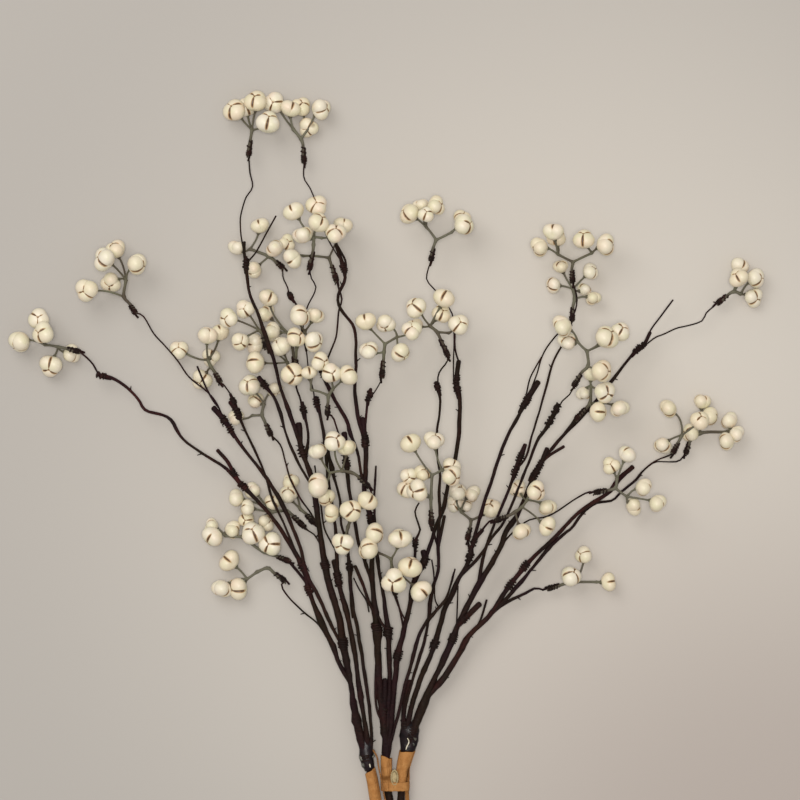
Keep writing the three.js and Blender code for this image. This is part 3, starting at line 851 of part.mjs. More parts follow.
const bunch = new THREE.Group();
bunch.add(meshOf("stem_left", stemSolid("left_rod"), materials.stem));
bunch.add(meshOf("stem_middle", stemSolid("middle_rod"), materials.stem));
bunch.add(meshOf("stem_right", stemSolid("right_rod"), materials.stem));
Object.entries(SPRAYS).forEach(([name, spray]) => {
  bunch.add(meshOf(name, spraySolid(spray), materials.boll));
});
Object.entries(WRAPS).forEach(([name, wrap]) => {
  bunch.add(meshOf(name, wrapSolid(wrap), materials.wrap));
});
bunch.add(meshOf("tie_band", bandSolid(), materials.tie));
bunch.add(meshOf("tie_twine", twineSolid(), materials.tie));

// The origin goes under the middle of the bunch.
const middle = new THREE.Box3().setFromObject(bunch).getCenter(new THREE.Vector3());
bunch.position.set(-middle.x, -middle.y, 0);

export default bunch;
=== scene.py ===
import math
import random

import bpy
import numpy as np
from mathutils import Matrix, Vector


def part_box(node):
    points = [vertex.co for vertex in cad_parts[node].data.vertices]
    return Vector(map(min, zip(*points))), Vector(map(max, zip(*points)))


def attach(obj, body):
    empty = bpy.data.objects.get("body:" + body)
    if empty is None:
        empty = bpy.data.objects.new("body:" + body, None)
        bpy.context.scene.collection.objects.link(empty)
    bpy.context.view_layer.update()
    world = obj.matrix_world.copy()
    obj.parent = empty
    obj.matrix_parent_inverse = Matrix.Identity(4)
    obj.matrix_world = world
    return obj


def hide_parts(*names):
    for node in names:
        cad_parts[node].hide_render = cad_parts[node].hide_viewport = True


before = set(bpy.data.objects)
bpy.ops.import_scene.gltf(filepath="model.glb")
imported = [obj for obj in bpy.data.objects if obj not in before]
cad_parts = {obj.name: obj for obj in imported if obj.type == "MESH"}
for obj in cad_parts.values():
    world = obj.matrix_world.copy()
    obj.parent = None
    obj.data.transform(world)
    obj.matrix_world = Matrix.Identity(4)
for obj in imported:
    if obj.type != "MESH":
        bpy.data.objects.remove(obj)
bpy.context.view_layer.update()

# A bunch of dried bolls on dark wound stems, laid on a pale floor and seen from straight above.
# Everything is worked out in millimetres, in the layout that the solids were made from, and moved
# into the row's frame when a piece is made.

SEED = 20
MM = 0.001
FULL_TURN = 2 * math.pi
UPWARDS = (0, 0, 1.0)

# ---- The layout of the solids, in layout units seen from above --------------------------------------

LAYOUT_UNIT = 0.625        # millimetres at the height of LAYOUT_PLANE
LAYOUT_MIDDLE = (400, 400)
LAYOUT_PLANE = 25
EYE_HEIGHT = 2000
PICTURE_WIDTH = 800
BEND_ROOM = 1
BINDING_TAIL = 5
KNOT_LENGTH = 7
BOLL_HEIGHT = 0.92
BOLL_FLAT = 0.82
BOLL_SEAT = 0.88


def records(text, between="\n\n"):
    """The records of a table, each as its fields, which semicolons part."""
    return [[field.strip() for field in record.split(";")] for record in text.strip().split(between)]


def rows(field):
    """The rows of numbers in a field, which commas part. A field without any holds a dash."""
    return [[float(number) for number in row.split()] for row in field.split(",") if row != "-"]


# Strands: the name, the strand that it joins, the sprays bound to its tip, its radii in even steps from
# tip to foot, its knots, and its route from tip to foot as across, down and height.
STRANDS = {}
for name, joins, holds, thick, knots, path in records("""
left_rod; -; -; 1.9 1.45 1.9 2 2.4 1.7 2.3 2.4 2.4 2.4 2.4 2.4 2.4; 304 453, 325 565, 343 643, 361 760;
298.7 423.6 27, 301.4 449 27, 309.8 472 27, 315 497 26, 319 526 25, 323.6 556 23, 328 580 22, 334 600 20,
339.6 620 18, 343 643 16, 350 680 12, 355.5 715 8.5, 363 748 6.4, 370.4 772 5.6, 375.6 800 5, 380 840 3.6,
382 900 2.5, 382 1036 2.5

top_left_branch; left_rod; top_left; 0.5 0.45 0.5 1.1 1.05 1.15 1.15 1.15 1.2; 246 265; 250 173 14,
252.6 187 17, 246 198 21, 241 214 25, 240.5 230 29, 246 265 33, 248 284 34, 251 298 34, 258 314 34, 267 340 34,
273.4 358 33, 280 386 31, 289.5 413 29, 297 434 28

centre_wire; left_rod; centre_front centre_cluster centre_side; 0.6 0.8 1.3; 302.5 409; 296.4 387.4 25,
301 401 27, 306.3 422.6 27, 308.3 437 27

centre_left_wire; top_left_branch; centre_left; 0.5 0.5; -; -

low_back_wire; left_rod; -; 1.3 0.85 0.85 0.85; 264 386; 258.5 377 24, 266 387 24, 274 397 24, 281 415 24,
286.4 435.6 25, 297 460 26, 305 475 26

fork_back_wire; left_rod; centre_back; 0.5 0.6 0.6 0.7; -; 280.3 444.8 13, 284.9 460 16, 288.4 473 18,
292 483 19, 301.4 500 21, 310.6 513 23

far_left_branch; left_rod; far_left; 0.6 1.05 0.95 0.85 0.85 0.9 1.4 1.2 1.2 1.4 1.6 1.6 1.6; 101 375, 243 486,
299 568, 308 588; 86 357 13, 92 363 12, 101 375 11, 112 378 10.5, 125 386 10, 138 399 11, 145 410 11,
163 415 12, 171 420 12, 182 438 13, 208 457 14, 224 467 14.5, 243 486 15, 271 516 16, 291 545.8 17, 303 568 18,
310 593.6 18, 323.6 627.5 16, 332.5 645 14, 340 665 13

upper_left_branch; left_rod; upper_left; 0.5 0.5 0.5 0.55 0.9 1.15 1.2 1.2 1.15 1.15 1.15 1.1; 228 428;
142 315 16, 154 334 17, 165 346 18, 177 360 19, 190 378 19.5, 208.4 392.8 20, 217 404 20, 224.4 420 20,
243.6 448.6 20, 262 472 21, 280 500 21.5, 290.7 523 22, 300.6 549 22, 308 577.5 21, 317 593.6 20, 330.7 624 18

mid_left_branch; far_left_branch; mid_left; 0.5 0.85 0.75 0.8 0.75 0.75; 232 402, 239 416; 223 384 14,
231.3 396.6 15, 239 416.5 16, 245.9 431.8 17, 258.9 459.4 17, 267 481 17, 273 501 17.5, 285 526 18, 294 548 18

crown_branch; left_rod; crown; 0.45 0.5 0.55 1.2 1.05 1 1.1 1.3 1.55 1.6 1.55 1.6 1.6; 316 402, 338.6 581;
311.4 278.5 27, 315.7 286 26.5, 314.3 293 26, 308.5 304 25, 304 320 25, 303 335 24.5, 306 348 24, 309 373 24,
315 397 24, 321 418 25, 326 452.7 25, 327.4 475.6 25, 331 500 24, 335.8 532 23, 338.5 581 20, 347.7 616 17,
355.7 660 13, 359 686 11, 362.5 708 9.5, 365.5 728 8.2, 368.6 748 6.9, 371.5 765 5.9

back_crown_wire; crown_branch; back_crown; 0.45 0.75; 291 297; 283 277 11, 288 288 14, 291 297 17, 297 306 21

inner_strand; left_rod; -; 1.05 0.85 0.8 1.1 1.15 1.2 1.15 1 1.05 1.1; 350 567; 328 450 22, 329 456.5 23,
332.8 471.8 24, 336.6 487 24, 340.4 502 24, 341 522.8 24, 345 536 23.5, 348.5 556 22, 350 577.5 21, 353 607 19,
357.5 629 17, 362 656 14, 365.5 680 12, 369 703.6 9.5, 371 726 8, 371.5 742 7.2, 371 758 6.3

twin_wire; crown_branch; -; 0.5 0.6 0.6; -; 314.8 465.7 26, 317 483 26, 320.5 502 26, 324.5 529 25

cross_back_wire; left_rod; cross_back; 0.45 0.6; 303 525; 308 530.5 14, 315 535.5 20

pair_wire; left_rod; pair; 0.5 0.5; -; 316 524 19

lower_middle_wire; inner_strand; inner_front; 0.6 0.6; -; -

lower_row_wire; far_left_branch; lower_row; 0.9 1.1; -; -

lower_left_wire; far_left_branch; lower_left; 0.55 0.55; -; 281.5 585 6, 288.5 597 7, 305 613 11, 318 624 14

middle_rod; -; -; 1 1 1 1.4 1.45 1.6 2.25 2.35 2.4 2.4 2.4 2.4 2.4; 344 269, 365 443, 371 517, 377 629;
336 245 33, 344 271 33, 345 280 33, 338 295 32, 339 306 32, 354 328 31, 356 356 29, 355 390 29, 358 417 30,
365 441 30, 365.7 472 29, 364 489 28, 368.7 511 27, 373 530 26, 372 560 23, 372.5 585 20, 375.4 611 18,
377 629 17, 379 680 12, 383 715 8.5, 386 745 6.2, 386.5 770 5.6, 389 800 5, 390.5 840 3.6, 391 900 2.5,
391 1051 2.5

top_middle_wire; middle_rod; top_middle; 0.45 0.4 0.5; -; 304 178 11, 310 188 12, 314 197 14, 320 214 18,
326 234 23, 334 250 28

side_crown_wire; middle_rod; side_crown; 0.6 0.6 0.5 1.2 1.15 0.8 1; 323 371; 339 289 22, 342 300 23,
339 310 24, 336 337 25, 329.5 354 25, 323 371 26, 332.3 395.3 26, 338 405 27, 346.6 421.3 28, 351 435 28.5,
356.5 449 29, 361 472 29

middle_right_wire; middle_rod; middle_right; 0.4 0.8 1.2; 369 397; 380 383 35, 374 392 33, 369 397 32,
367 407 31, 365 430 30

back_front_strand; middle_rod; -; 1.7 1.2 1 1.05 1.1; 346 461; 344.6 433 27, 346 459 27, 348 479.5 27,
351 502 26, 355 523 25, 358 540 24, 364.6 561 22.5, 370 577 21

front_middle_wire; back_front_strand; front_middle; 0.6 0.65; -; 332 416 30, 336.6 427 28

berry_wire; middle_rod; -; 0.6 0.75 1 1.15 1.7 1.5 1.5 1.5; 388 632; 376 466 27, 374.5 493 27, 375 525 26,
377 556 22, 382.5 590 19.5, 388 632 16, 389.6 680 11, 388.5 705 9, 387.5 726 7.9

lower_front_wire; berry_wire; lower_front; 0.55 0.55; -; 370.3 489.4 30

split_strand; middle_rod; -; 1.05 1.1; -; 355 566 26, 363 584.6 23, 369 602.5 20.5

right_high_branch; middle_rod; right_high; 0.45 0.5 0.6 1.3 1.3 1.25 1.2 1.2 1.5 1.75 1.7 1.7 1.8; 459 388,
424 562, 398 658; 427 274 22, 427 280 22, 436 291 22, 447 305 22, 452 314 22, 454 334 23, 454 380 24,
459 394 24, 459 430 23, 455 460.7 22, 449 480 21, 446 496 20, 442 512.7 19, 435.4 528 17.5, 430 545.6 17.5,
424.6 562 17.5, 415 579 17.5, 411 598 17.5, 407.5 616 17, 404 629 16, 397 660 13, 394.6 685.7 11, 392 712.5 8.8,
390.5 728 7.7, 388.5 748 6.3

low_front_wire; right_high_branch; low_front; 0.6 0.8; -; 399.5 609 18

curled_wire; right_high_branch; -; 0.5 0.9 0.9; 416 541; 419 503 27, 415 511 26, 418 523 25, 420 530 24,
416 540 22, 415 553 20

crossing_strand; middle_rod; -; 0.5 1 1.15 1.05 1.05 1.1; -; 454 572 23.5, 446 598 23.5, 437 610 23, 428 620 22,
421 631 20, 412 660.5 17.5, 407 679 16, 401.5 700 13.5, 398.5 714 11.3, 392.7 735 8

right_rod; -; right_front; 0.95 1.3 1.4 1.75 1.75 1.75 2.7 2.5 2.5 2.5 2.5 2.5 2.5; 535 475, 453 638, 410 733;
565 433 23, 553.5 447 22, 545 457 22, 537 470.6 22, 531.8 480.6 21.5, 516.5 516.5 21, 505.7 531.8 20.5,
502 543.3 20, 493.5 560 19, 482.7 578 18, 473.8 593.6 17, 465.7 609 16, 460 620 15, 453 638 14, 442.5 662 12,
434 680 10, 418.8 716 7.2, 412 734 6.3, 407 752 5.7, 402.8 770 5.5, 401 792 5.2, 400 840 3.6, 400 900 2.5,
400 1043 2.5

far_right_branch; right_rod; far_right; 0.45 0.4 0.4 1.1 1.1 1.1; 639 347; 705.5 314 8, 703 320 8, 687 326 8.5,
677 328 9, 664 334 10, 656 337 10, 646 344.5 10.8, 639 348 11, 610 383 14, 597 400 16, 583 415 20

high_branch; right_rod; high_right; 0.5 0.5 0.5 1.1 1.05 1.15 1.05 1.3 1.6 1.6 1.65 1.55 1.55; 525 403, 469 558,
434.5 645; 575.6 291 22, 577 300.5 21, 574.6 313 20, 567 325 19, 555.7 336 19, 545 350.5 19, 541.2 358.5 19.4,
538 370 20, 534.5 380 20.6, 525 403 21, 505 442 22, 495 470.6 22, 485.9 497.4 22, 479 520.3 22, 472.8 543.3 21,
467 565 20, 456.8 582 19, 451 597 18, 444 611 17, 439 629 16, 434.5 645 15, 426.4 665 13, 420 680 11.5,
414 698 9.5, 409.5 716 7.9, 405.8 734 6.6, 405 746 6

knobbly_branch; right_rod; -; 1.3 1.05 0.85 1.05 1.1; 521 456, 515 472; 525.6 444.6 25, 518 463 25,
508.8 489.7 25, 500.4 510.4 24, 492.7 528 22, 486.6 545.6 20.5, 482.8 560 19.5

straight_branch; knobbly_branch; back_right; 0.65 0.7 0.7 0.7 0.7; -; 568 335 14, 554 360 17, 546 388 19,
538 416 21, 532 435 23, 525 459 25

middle_high_branch; high_branch; upper_right; 0.45 1.3 0.9 0.75 0.85 0.9 1.1; 554 408, 549 420; 570 394 33,
561 402 32, 551.6 418 31, 545 430 30, 537.9 440 29, 529.5 460.7 29, 518 489 29, 503.5 522.6 27, 492.7 536.4 25,
479 557 22

right_centre_branch; right_rod; right_centre; 0.5 0.9 0.75 0.7 1.1 1 1.15 1.05 1 1 1 1; 438 385; 447 362 32,
440 371 31, 437 383 30, 440 399 30, 439.5 414 29, 437 430 28, 437.7 460.7 27, 440 474 26, 439 493.6 25,
440 512.7 24.5, 438.4 531.8 23.5, 438 548 22.5, 438.5 570 20, 433.6 584.6 19, 430 602.5 18, 429 616 17,
424 642.7 15, 416 668 12.5, 409 692 10, 404 712 8.6, 402.3 728 7.4, 403 744 6.4

middle_low_wire; right_centre_branch; middle_low; 0.7 0.75; -; 434 534 27

right_low_wire; high_branch; right_low; 0.7 0.7; -; 490 521 29

low_cluster_wire; high_branch; low_cluster; 0.8 0.8; -; -

outer_branch; right_rod; -; 1.6 1.3 1.05 1.2 1.4 1.4 1.7 2 2; 526 566, 510 585; 633 467 14, 617 481 14,
610 491 14, 578 513 14, 553 539 14, 527 564 14, 510 585 14, 489 616 13, 469 636 12, 460 651.6 11.5, 453 663 11,
442.5 680 10

edge_branch; outer_branch; edge_right; 0.45 0.5 0.85 0.85 1.1 1.1 1.1 1.2; -; 685 454 7.5, 679 461 8, 666 462 9,
655 462 9, 642 472 10, 637 479 10, 620 493 10.5, 613 500 11, 596 503 11, 586.5 509 11.5, 578 519 12,
572.5 527.5 12.4, 564 534 12.8, 556 541 13, 549 547.5 13, 542.5 555.5 13.2, 532.6 568 13.4, 523.5 579 13.5,
513 591 13.5, 505 600 13.5

edge_front_wire; edge_branch; edge_front; 0.5 0.45; -; 668 456 12, 657 460 10

outer_wire; right_rod; outer_right; 0.55 0.5 0.6; -; 589 492 20, 580 496 20, 556 512 20, 545 517 20, 527 521 20

lower_right_branch; outer_branch; lower_right; 0.45 1.2 1.2; -; 543 590 9, 536 588 9.5, 526 593 10, 509 601 11,
499 607 12
"""):
    STRANDS[name] = {"joins": joins.strip("-"), "holds": ["spray_" + held for held in holds.strip("-").split()],
                     "thick": rows(thick)[0], "knots": rows(knots), "path": rows(path)}

# Sprays: the name, the height of the forks, the stalk from its first fork to its bound end, side arms,
# and the bolls. A boll has its place across and down, its radius in units, the lean of its tip in
# degrees and its lift in mm. Then comes how it is turned: where its tip points round the picture and
# up from it, the turn of its first seam, all in degrees, and for each of its seams how far it is open,
# in tens of steps from the tip, and how wide, in tenths.
SPRAYS = {}
for name, height, stalk, arms, bolls in records("""
far_left; 8; 58 347 12, 66 348.5 13.5, 77 351 14; 45 345 9; 20 341 11 15 0 237 21 72 35 85 44,
39 319 10.3 25 3 96 78 60 77 41 35, 44 333 11.2 55 8 177 54 48 30 89 59, 51 365 11.5 10 -5 252 54 51 48 68 97,
71 354 9.5 0 -9 12 36 114 39 99 94

upper_left; 16; 126 280, 124 297, 129 303, 134 311; -; 87 290 11.2 20 0 210 66 75 38 94 33,
111 282 10.3 -35 -2 255 51 114 49 39 44, 105 259 12 55 3 165 33 93 30 99 49,
116 250 10 10 -6 117 30 69 33 39 44, 136 264 10.3 20 2 345 21 105 39 32 97

mid_left; 14; 208 360, 211 367, 214 371, 219 380; -; 179 350 9.3 10 -8 90 66 36 30 95 95,
207 336 10 30 2 81 15 39 74 33 44, 220 333 9.2 10 -7 105 12 24 74 33 59, 211 357 9 -20 -9 246 78 60 79 30 99,
202 379 10.5 0 -9 246 51 27 69 59 97

centre_left; 20; 259 330 25.5, 262 334 27, 266 346 29; -; 229 318 9.6 20 0 195 54 54 48 86 33,
245 309 9.1 -30 -3 183 81 69 30 99 30, 240 341 8.6 15 -1 303 66 24 55 69 52

centre_side; 22; 287 362, 289 367, 292 377 21; -; 256 363 11 35 2 174 12 36 74 34 98,
255 344 10.5 20 -9 180 24 12 74 74 48, 281 347 10.5 -40 9 123 21 117 35 36 95,
292 374 11 65 6 324 66 60 79 69 99

centre_cluster; 19; 288 333, 292 345, 293.5 355 18, 295 367 18; -; 268 298 9.8 20 1 60 21 33 39 31 99,
266 314 10 5 -6 138 -9 48 74 99 97, 273 332 9.6 20 -2 171 -12 66 74 79 74

centre_front; 34; 305 331, 297 347 31, 296 357 28, 296 371 25; -; 299 316 10.5 35 4 24 27 114 34 69 99,
315 316 8.8 10 -1 69 -6 72 74 56 94, 295 338 9.6 45 6 30 45 105 49 99 69, 313 341 10 20 2 345 30 96 39 59 99

front_middle; 36; 333 389, 328.5 396 34, 328 403 33, 327.6 412 32; 311 390; 320 362 9.5 25 1 3 51 21 49 49 97,
331 373 9.6 -35 8 333 78 6 97 79 37, 348 376 10.5 20 3 30 3 0 74 74 99, 309 373 8 5 -1 96 12 18 74 74 99

centre_back; 10; 264 404, 262 415, 265 422, 270 433; 252 415.5; 250 386 10.5 10 0 117 57 84 32 69 83,
256 401 8 0 -6 123 36 33 74 32 99, 275 389 8 10 -1 300 24 108 35 99 98, 236 418 8 0 -6 93 51 45 49 30 99

top_left; 11; 252 130, 250.5 139, 249 153; -; 235 111 11 20 -2 129 51 72 41 99 69,
256 102 11 20 -1 102 51 90 49 79 39, 246 108 9.5 0 -8 90 66 0 74 74 99, 268 123 12 40 3 78 48 0 57 58 99

top_middle; 9; 293 129, 301 139, 303 145, 304 160; 310 127; 274 103 10.5 5 -6 183 84 9 30 67 66,
290 109 10 20 0 69 6 30 74 74 89, 301 107 10 0 -6 69 57 99 38 39 69, 320.5 109 10.8 20 0 0 30 72 38 35 94,
308.6 127.4 10 0 -7 243 63 36 31 65 99

crown; 34; 314 237, 313.5 245 33, 313 251 32, 310 267 28; 322 238; 294 212 10.5 20 0 117 3 0 74 74 77,
317 206 10.5 10 -2 96 66 54 64 94 53, 318 223 10.5 60 5 51 33 48 39 69 69,
303 235.5 10.5 30 -1 105 6 72 74 84 99, 335 234 10.5 50 4 78 45 69 49 99 69

back_crown; 9; 250 249, 269 256.5, 275 261, 281 266; -; 260 226 9.2 10 -1 108 12 6 74 74 69,
237 248 9.2 5 -4 78 3 93 74 30 99, 254 269 8.5 10 -2 213 21 108 39 38 99, 275 249 9 20 3 135 0 87 74 99 74,
286.5 243 8.6 0 -4 21 57 99 38 32 98

side_crown; 17; 329 258, 331 264 18, 336 279 20; 303 256; 293 258 10 20 3 216 0 15 74 74 79,
343 226 9.6 10 -1 81 0 21 74 74 65

middle_right; 38; 385 344, 384 352, 383.6 359 37, 382 375 36; 397 337; 366 322 10 20 0 102 0 6 74 74 79,
386 323 9.5 -35 2 258 42 9 37 49 39, 369 351 9.5 -20 4 117 33 51 30 33 97, 400 352 9.6 60 1 312 30 78 39 69 89,
412 331 10 35 3 90 54 60 30 99 30

right_centre; 33; 430 326, 437 332, 440 338, 447 354; 449 333; 416.5 308 10.5 55 0 138 42 6 59 49 99,
444 299 10.5 25 1 69 12 3 32 74 99, 441 314 9.6 0 -3 57 57 12 32 74 99, 458.6 325 10 10 1 54 66 93 30 96 45,
415 327 8.5 0 -6 153 84 117 74 74 91

right_high; 22; 436 240, 433.5 247, 431.5 258; 426 227, 452 232; 410 214 10.3 25 1 150 27 96 32 99 30,
421 206 8.6 5 -5 102 6 87 74 54 34, 435.5 206 10 20 2 15 30 105 39 30 99, 426 215 8 30 6 78 60 99 35 99 69,
463 225 10 20 2 9 39 12 89 30 49, 462 219 9 0 -5 72 39 63 33 93 30

high_right; 22; 573 262, 572 268, 572.5 280; 558 254.5, 592 253; 540 247 10 20 0 207 6 72 74 97 37,
554 232 10.5 25 2 90 3 114 74 69 74, 557 238 9.5 0 -6 117 57 75 74 99 74, 584 240 10.5 25 1 99 42 108 48 99 59,
605 245 11 25 1 357 15 3 99 74 69

back_right; 11; 573 289, 574.6 299.5, 573 306, 572 318 12; -; 561 267 7.5 10 0 99 21 78 39 69 59,
554 285 7.8 10 -1 189 21 99 39 98 89, 590 272 8.2 15 0 30 33 93 38 33 95, 593 298 7.8 10 -1 294 15 117 74 34 75,
584 290 7 0 -4 60 -6 87 74 99 74

upper_right; 35; 587 351, 588 366, 582 372 34.5, 575 384 34; 577 341; 563 326 11.5 35 0 210 -6 81 74 99 74,
568 342 10 0 -5 87 33 75 74 74 99, 606 338 12 60 0 51 33 57 39 59 99, 620 332.5 9.6 10 -5 63 48 6 33 49 69,
601 371 11 60 0 357 39 114 39 69 79

right_front; 23; 591 386, 590 403, 587 407, 577 418; -; 591 375 8 0 -3 78 6 54 74 99 74,
584 393 8 0 -5 276 6 105 74 99 47, 604 392 10.5 60 1 330 60 21 69 59 59, 597.5 412 9.8 -30 8 357 18 42 39 31 99,
619.5 408 9.8 20 1 291 9 117 74 32 69

far_right; 7.5; 741 294, 734 291.5, 729 294, 719 302; -; 739 266 9 0 -4 63 3 45 74 74 98,
739 278 10 50 4 135 39 105 39 79 31, 755 278 9.5 15 0 357 39 111 32 37 99, 753 297 10 10 -3 327 48 18 79 36 79

edge_front; 14; 682 435, 678.5 442, 674 451; -; 669 408 9.2 20 0 216 6 93 74 99 32,
699.5 421 9.5 45 6 75 51 87 45 49 33, 663 445 9 -20 -3.5 249 21 0 82 37 96

edge_right; 6.5; 727 432, 700 433.5, 689.5 442, 686.5 451; -; 702 402 8.7 0 -3 84 6 48 74 74 67,
709 416 9 10 -1 348 9 3 76 74 39, 691 433 9.2 0 -3 174 30 63 39 95 69, 730 421 9 0 -4 144 -3 57 74 97 30,
736 434 9 15 2 330 6 117 74 39 69, 727 441 9 20 5 195 -6 84 74 96 99

outer_right; 21; 617 478, 615.5 488, 609 490, 597 492 20.5; 627 496.5; 611 466 9 -35 2 117 69 105 30 98 30,
627 455 9.2 20 0 51 0 102 74 87 99, 643 487 9 25 2 330 0 6 98 74 63, 633 506 9.5 -10 -4 12 0 78 74 99 66,
657 503 9.5 20 3 315 12 12 94 74 55

right_low; 33; 522 507, 515 512, 508 516, 498 520; 527 500; 535.5 491 10.3 45 3 354 42 18 79 49 79,
518 489 9 -10 -15 60 78 36 73 99 39, 547 507 9.3 10 -4 288 15 6 97 74 92, 547 526 10 25 1 333 15 57 74 38 89,
521 531 9.3 25 0 300 6 3 87 74 79

low_cluster; 10; 471 520, 470.5 526, 468 537; 461 512, 482 515; 457 492 9.6 20 2 48 27 114 39 39 90,
472 494 9 10 -1 333 3 3 97 74 33, 455 504 8 -10 -5 189 78 69 30 99 30, 466 506 7 0 -6 108 36 72 39 98 67,
491.5 509 9.8 15 0 105 48 24 49 76 39

middle_low; 33; 432 475, 431 498 32.5, 431 508 31, 431.5 523 29; 442 470;
410.6 444 10.3 25 0 117 12 18 74 74 79, 434 441 10.3 20 1 75 33 75 34 30 59, 418 490 11 60 4 201 48 21 69 59 89,
407 490 9.6 0 -3 93 39 87 39 99 74, 409 476 8.5 0 -3 279 78 75 54 68 30, 422.5 474 8.5 -20 0 60 36 87 39 32 99,
451 476 10.4 60 1 336 42 21 69 49 89, 451 467 9 0 -4 30 72 30 99 74 66

low_front; 31; 391 559, 392 568 28, 393 575 25, 395 592 20; 378 553 29.5;
373.6 533.6 10 10 5 357 12 12 68 74 99, 369 549 11 50 2 174 24 51 30 78 96, 400 539 12 30 0 93 15 21 74 35 79,
394 581 12.5 60 3 219 78 18 39 79 69, 410 568 12 45 1 78 15 12 35 39 79, 420 591 11.5 25 1 318 3 33 74 74 99

inner_front; 34; 350 521, 348 527 31, 347 532 29, 346 543 26; -; 350.5 511 10.5 60 2 30 66 63 69 69 69,
332 512.5 9.3 10 2 180 6 108 74 93 74, 366.7 501 10.5 35 3 51 6 42 74 74 89, 343 543 11 55 1 231 66 72 47 89 69

lower_front; 34; 342 471, 351 472.5, 357 475.5 34, 367 485 32; 330 473; 318 452 8.7 15 0 105 -3 84 74 30 99,
334 442 10.5 45 3 57 54 57 49 95 69, 347 448 9.8 15 1 99 -3 93 74 74 96, 319 486 12 40 0 177 0 63 74 74 79,
326 497 9 0 -3 306 39 15 98 39 39

cross_back; 8.5; 272 512, 287 511, 291 514 9.5, 301 524 11.5; -; 237 498 8.8 10 -1 183 -3 60 74 98 30,
253 490.5 8 20 -2 162 51 81 49 99 30, 248 508 8 0 2.5 174 12 51 74 69 57, 272 503 8 0 -5 81 66 30 49 67 99

pair; 9; 300 509, 305 513 10, 312 521 14; -; 288.5 495 9.3 10 -1 93 36 63 39 59 69,
291 482 8.5 5 -4 108 36 18 49 30 99

lower_row; 8; 242 537, 264 552, 276 556 9, 287 560.5 11; 225 536; 213 536 11 30 1 231 12 48 74 39 89,
212 526 8 0 -6 168 15 78 74 36 96, 232 530 9.5 0 -6 348 6 0 99 74 57, 253 534 11.5 35 1 99 57 9 30 47 99,
271 544 11.5 50 -1 171 75 15 69 79 89, 266 523 9 0 -6 30 30 48 39 59 36, 247 520 8 0 -6 183 75 15 79 49 67

lower_left; 6.5; 257 572, 268 568, 273 572, 283 579.5; 247 579; 230 561 11 15 -1 141 6 12 74 74 99,
222 588 10.5 15 0 252 6 105 74 97 34, 238 588 11 0 -4 198 45 0 74 74 99

lower_right; 8; 577 582, 568 583, 561 585, 550 588; 597 582; 584 555 8.6 10 0 162 51 51 44 99 93,
570.6 577 10 30 3 60 45 78 49 89 97, 608 582 9.3 15 -2 9 0 36 74 74 98
"""):
    SPRAYS["spray_" + name] = {"height": float(height), "stalk": rows(stalk), "arms": rows(arms),
                               "bolls": rows(bolls)}

# Cut ends and thin bare twigs that are bound to a branch: the branch, the radius and the route.
SNAGS = records("""
upper_left_branch; 0.7; 197.3 366.4 24, 206.8 389 22, 213 403 21
upper_left_branch; 1.9; 213.5 407.5 20, 221 418 20
far_left_branch; 1.3; 217.5 450 16, 227 461 16, 236 473 15.5
mid_left_branch; 1.8; 230.5 401.5 15, 235 409 15.5
top_left_branch; 0.6; 276 216 36, 266 234 35.5, 255.5 253 34.6, 250 262 34
top_left_branch; 1.1; 244.4 242 31.6, 245 252 32.4
middle_right_wire; 1.6; 362.6 418 31, 364 432 31
right_high_branch; 1.6; 459 361 24, 459.5 378 24
high_branch; 2; 538.5 382 21, 530.5 395.5 21
high_branch; 1.4; 482.8 530 22, 477.4 539 22
right_centre_branch; 1.2; 444.5 516 24, 442 539.5 23
right_rod; 1.6; 547.5 448.5 22, 541 463 22
right_rod; 1.1; 564 446.5 22, 549 458 22
far_right_branch; 0.6; 673 300 11, 661 316 11, 650 331.5 11, 645 338.5 11
far_right_branch; 1.25; 650.3 332.5 11, 642.5 343 11
outer_branch; 0.8; 486.7 600 14, 478 617 13
right_rod; 2; 480 604 17, 468 621 15
right_rod; 1.7; 410 681 9.2, 406 697 8.6, 403.5 717 7.6, 404 735 6.4
right_high_branch; 2; 423.5 551 17.5, 424 559 17.5
middle_rod; 1.8; 385 679.5 12, 386 715 8.6
middle_rod; 0.9; 377 650 16, 375.8 685.7 12, 376.3 703.6 10
crown_branch; 2.1; 334.5 560.5 20, 336.5 572 20
""", "\n")

# Thin loose wires of each stem: the stem's rod, the radius and the route.
LOOSE_WIRES = records("""
left_rod; 0.5; 353.7 578 22, 359 589 21.5, 366.5 601 20, 369 612 18.5
left_rod; 0.55; 353 566 22, 350.6 582 22.5, 350.4 600 21, 352.4 618 18.5
middle_rod; 0.7; 335.5 242 33.5, 340.5 251 33.8, 345.4 261 33.6, 346 270 33.4, 345.2 278 33
middle_rod; 0.6; 454.8 333 23.2, 454.9 346 23.6, 456.2 354 23.8, 458.4 361 24, 459 367 24
middle_rod; 0.75; 378 655 14.5, 376.2 670 13.2, 375.3 686 12, 375.8 702 10.8, 377.6 712 10, 381 720 9.2
middle_rod; 0.9; 377.6 615 19.5, 381 622 19.5, 386 629 19
middle_rod; 0.55; 393 590 21.5, 396.4 601 21.3, 399.6 608.7 21, 402 614 20.6, 405.8 621 19.8
right_rod; 0.5; 541.6 357 19.6, 535.2 368 20, 530 378.5 20.6, 527 391 21.2, 525.4 400 21.2
right_rod; 0.5; 431.8 560 22, 433.6 572 22, 434.4 586 21.5, 435.2 600 20.8, 439 608 20
right_rod; 0.5; 457.9 586 21, 457.4 604 20.5, 456.6 624 19
right_rod; 0.55; 455 569 21.5, 452.4 580 21.5, 448.6 592 21
""", "\n")

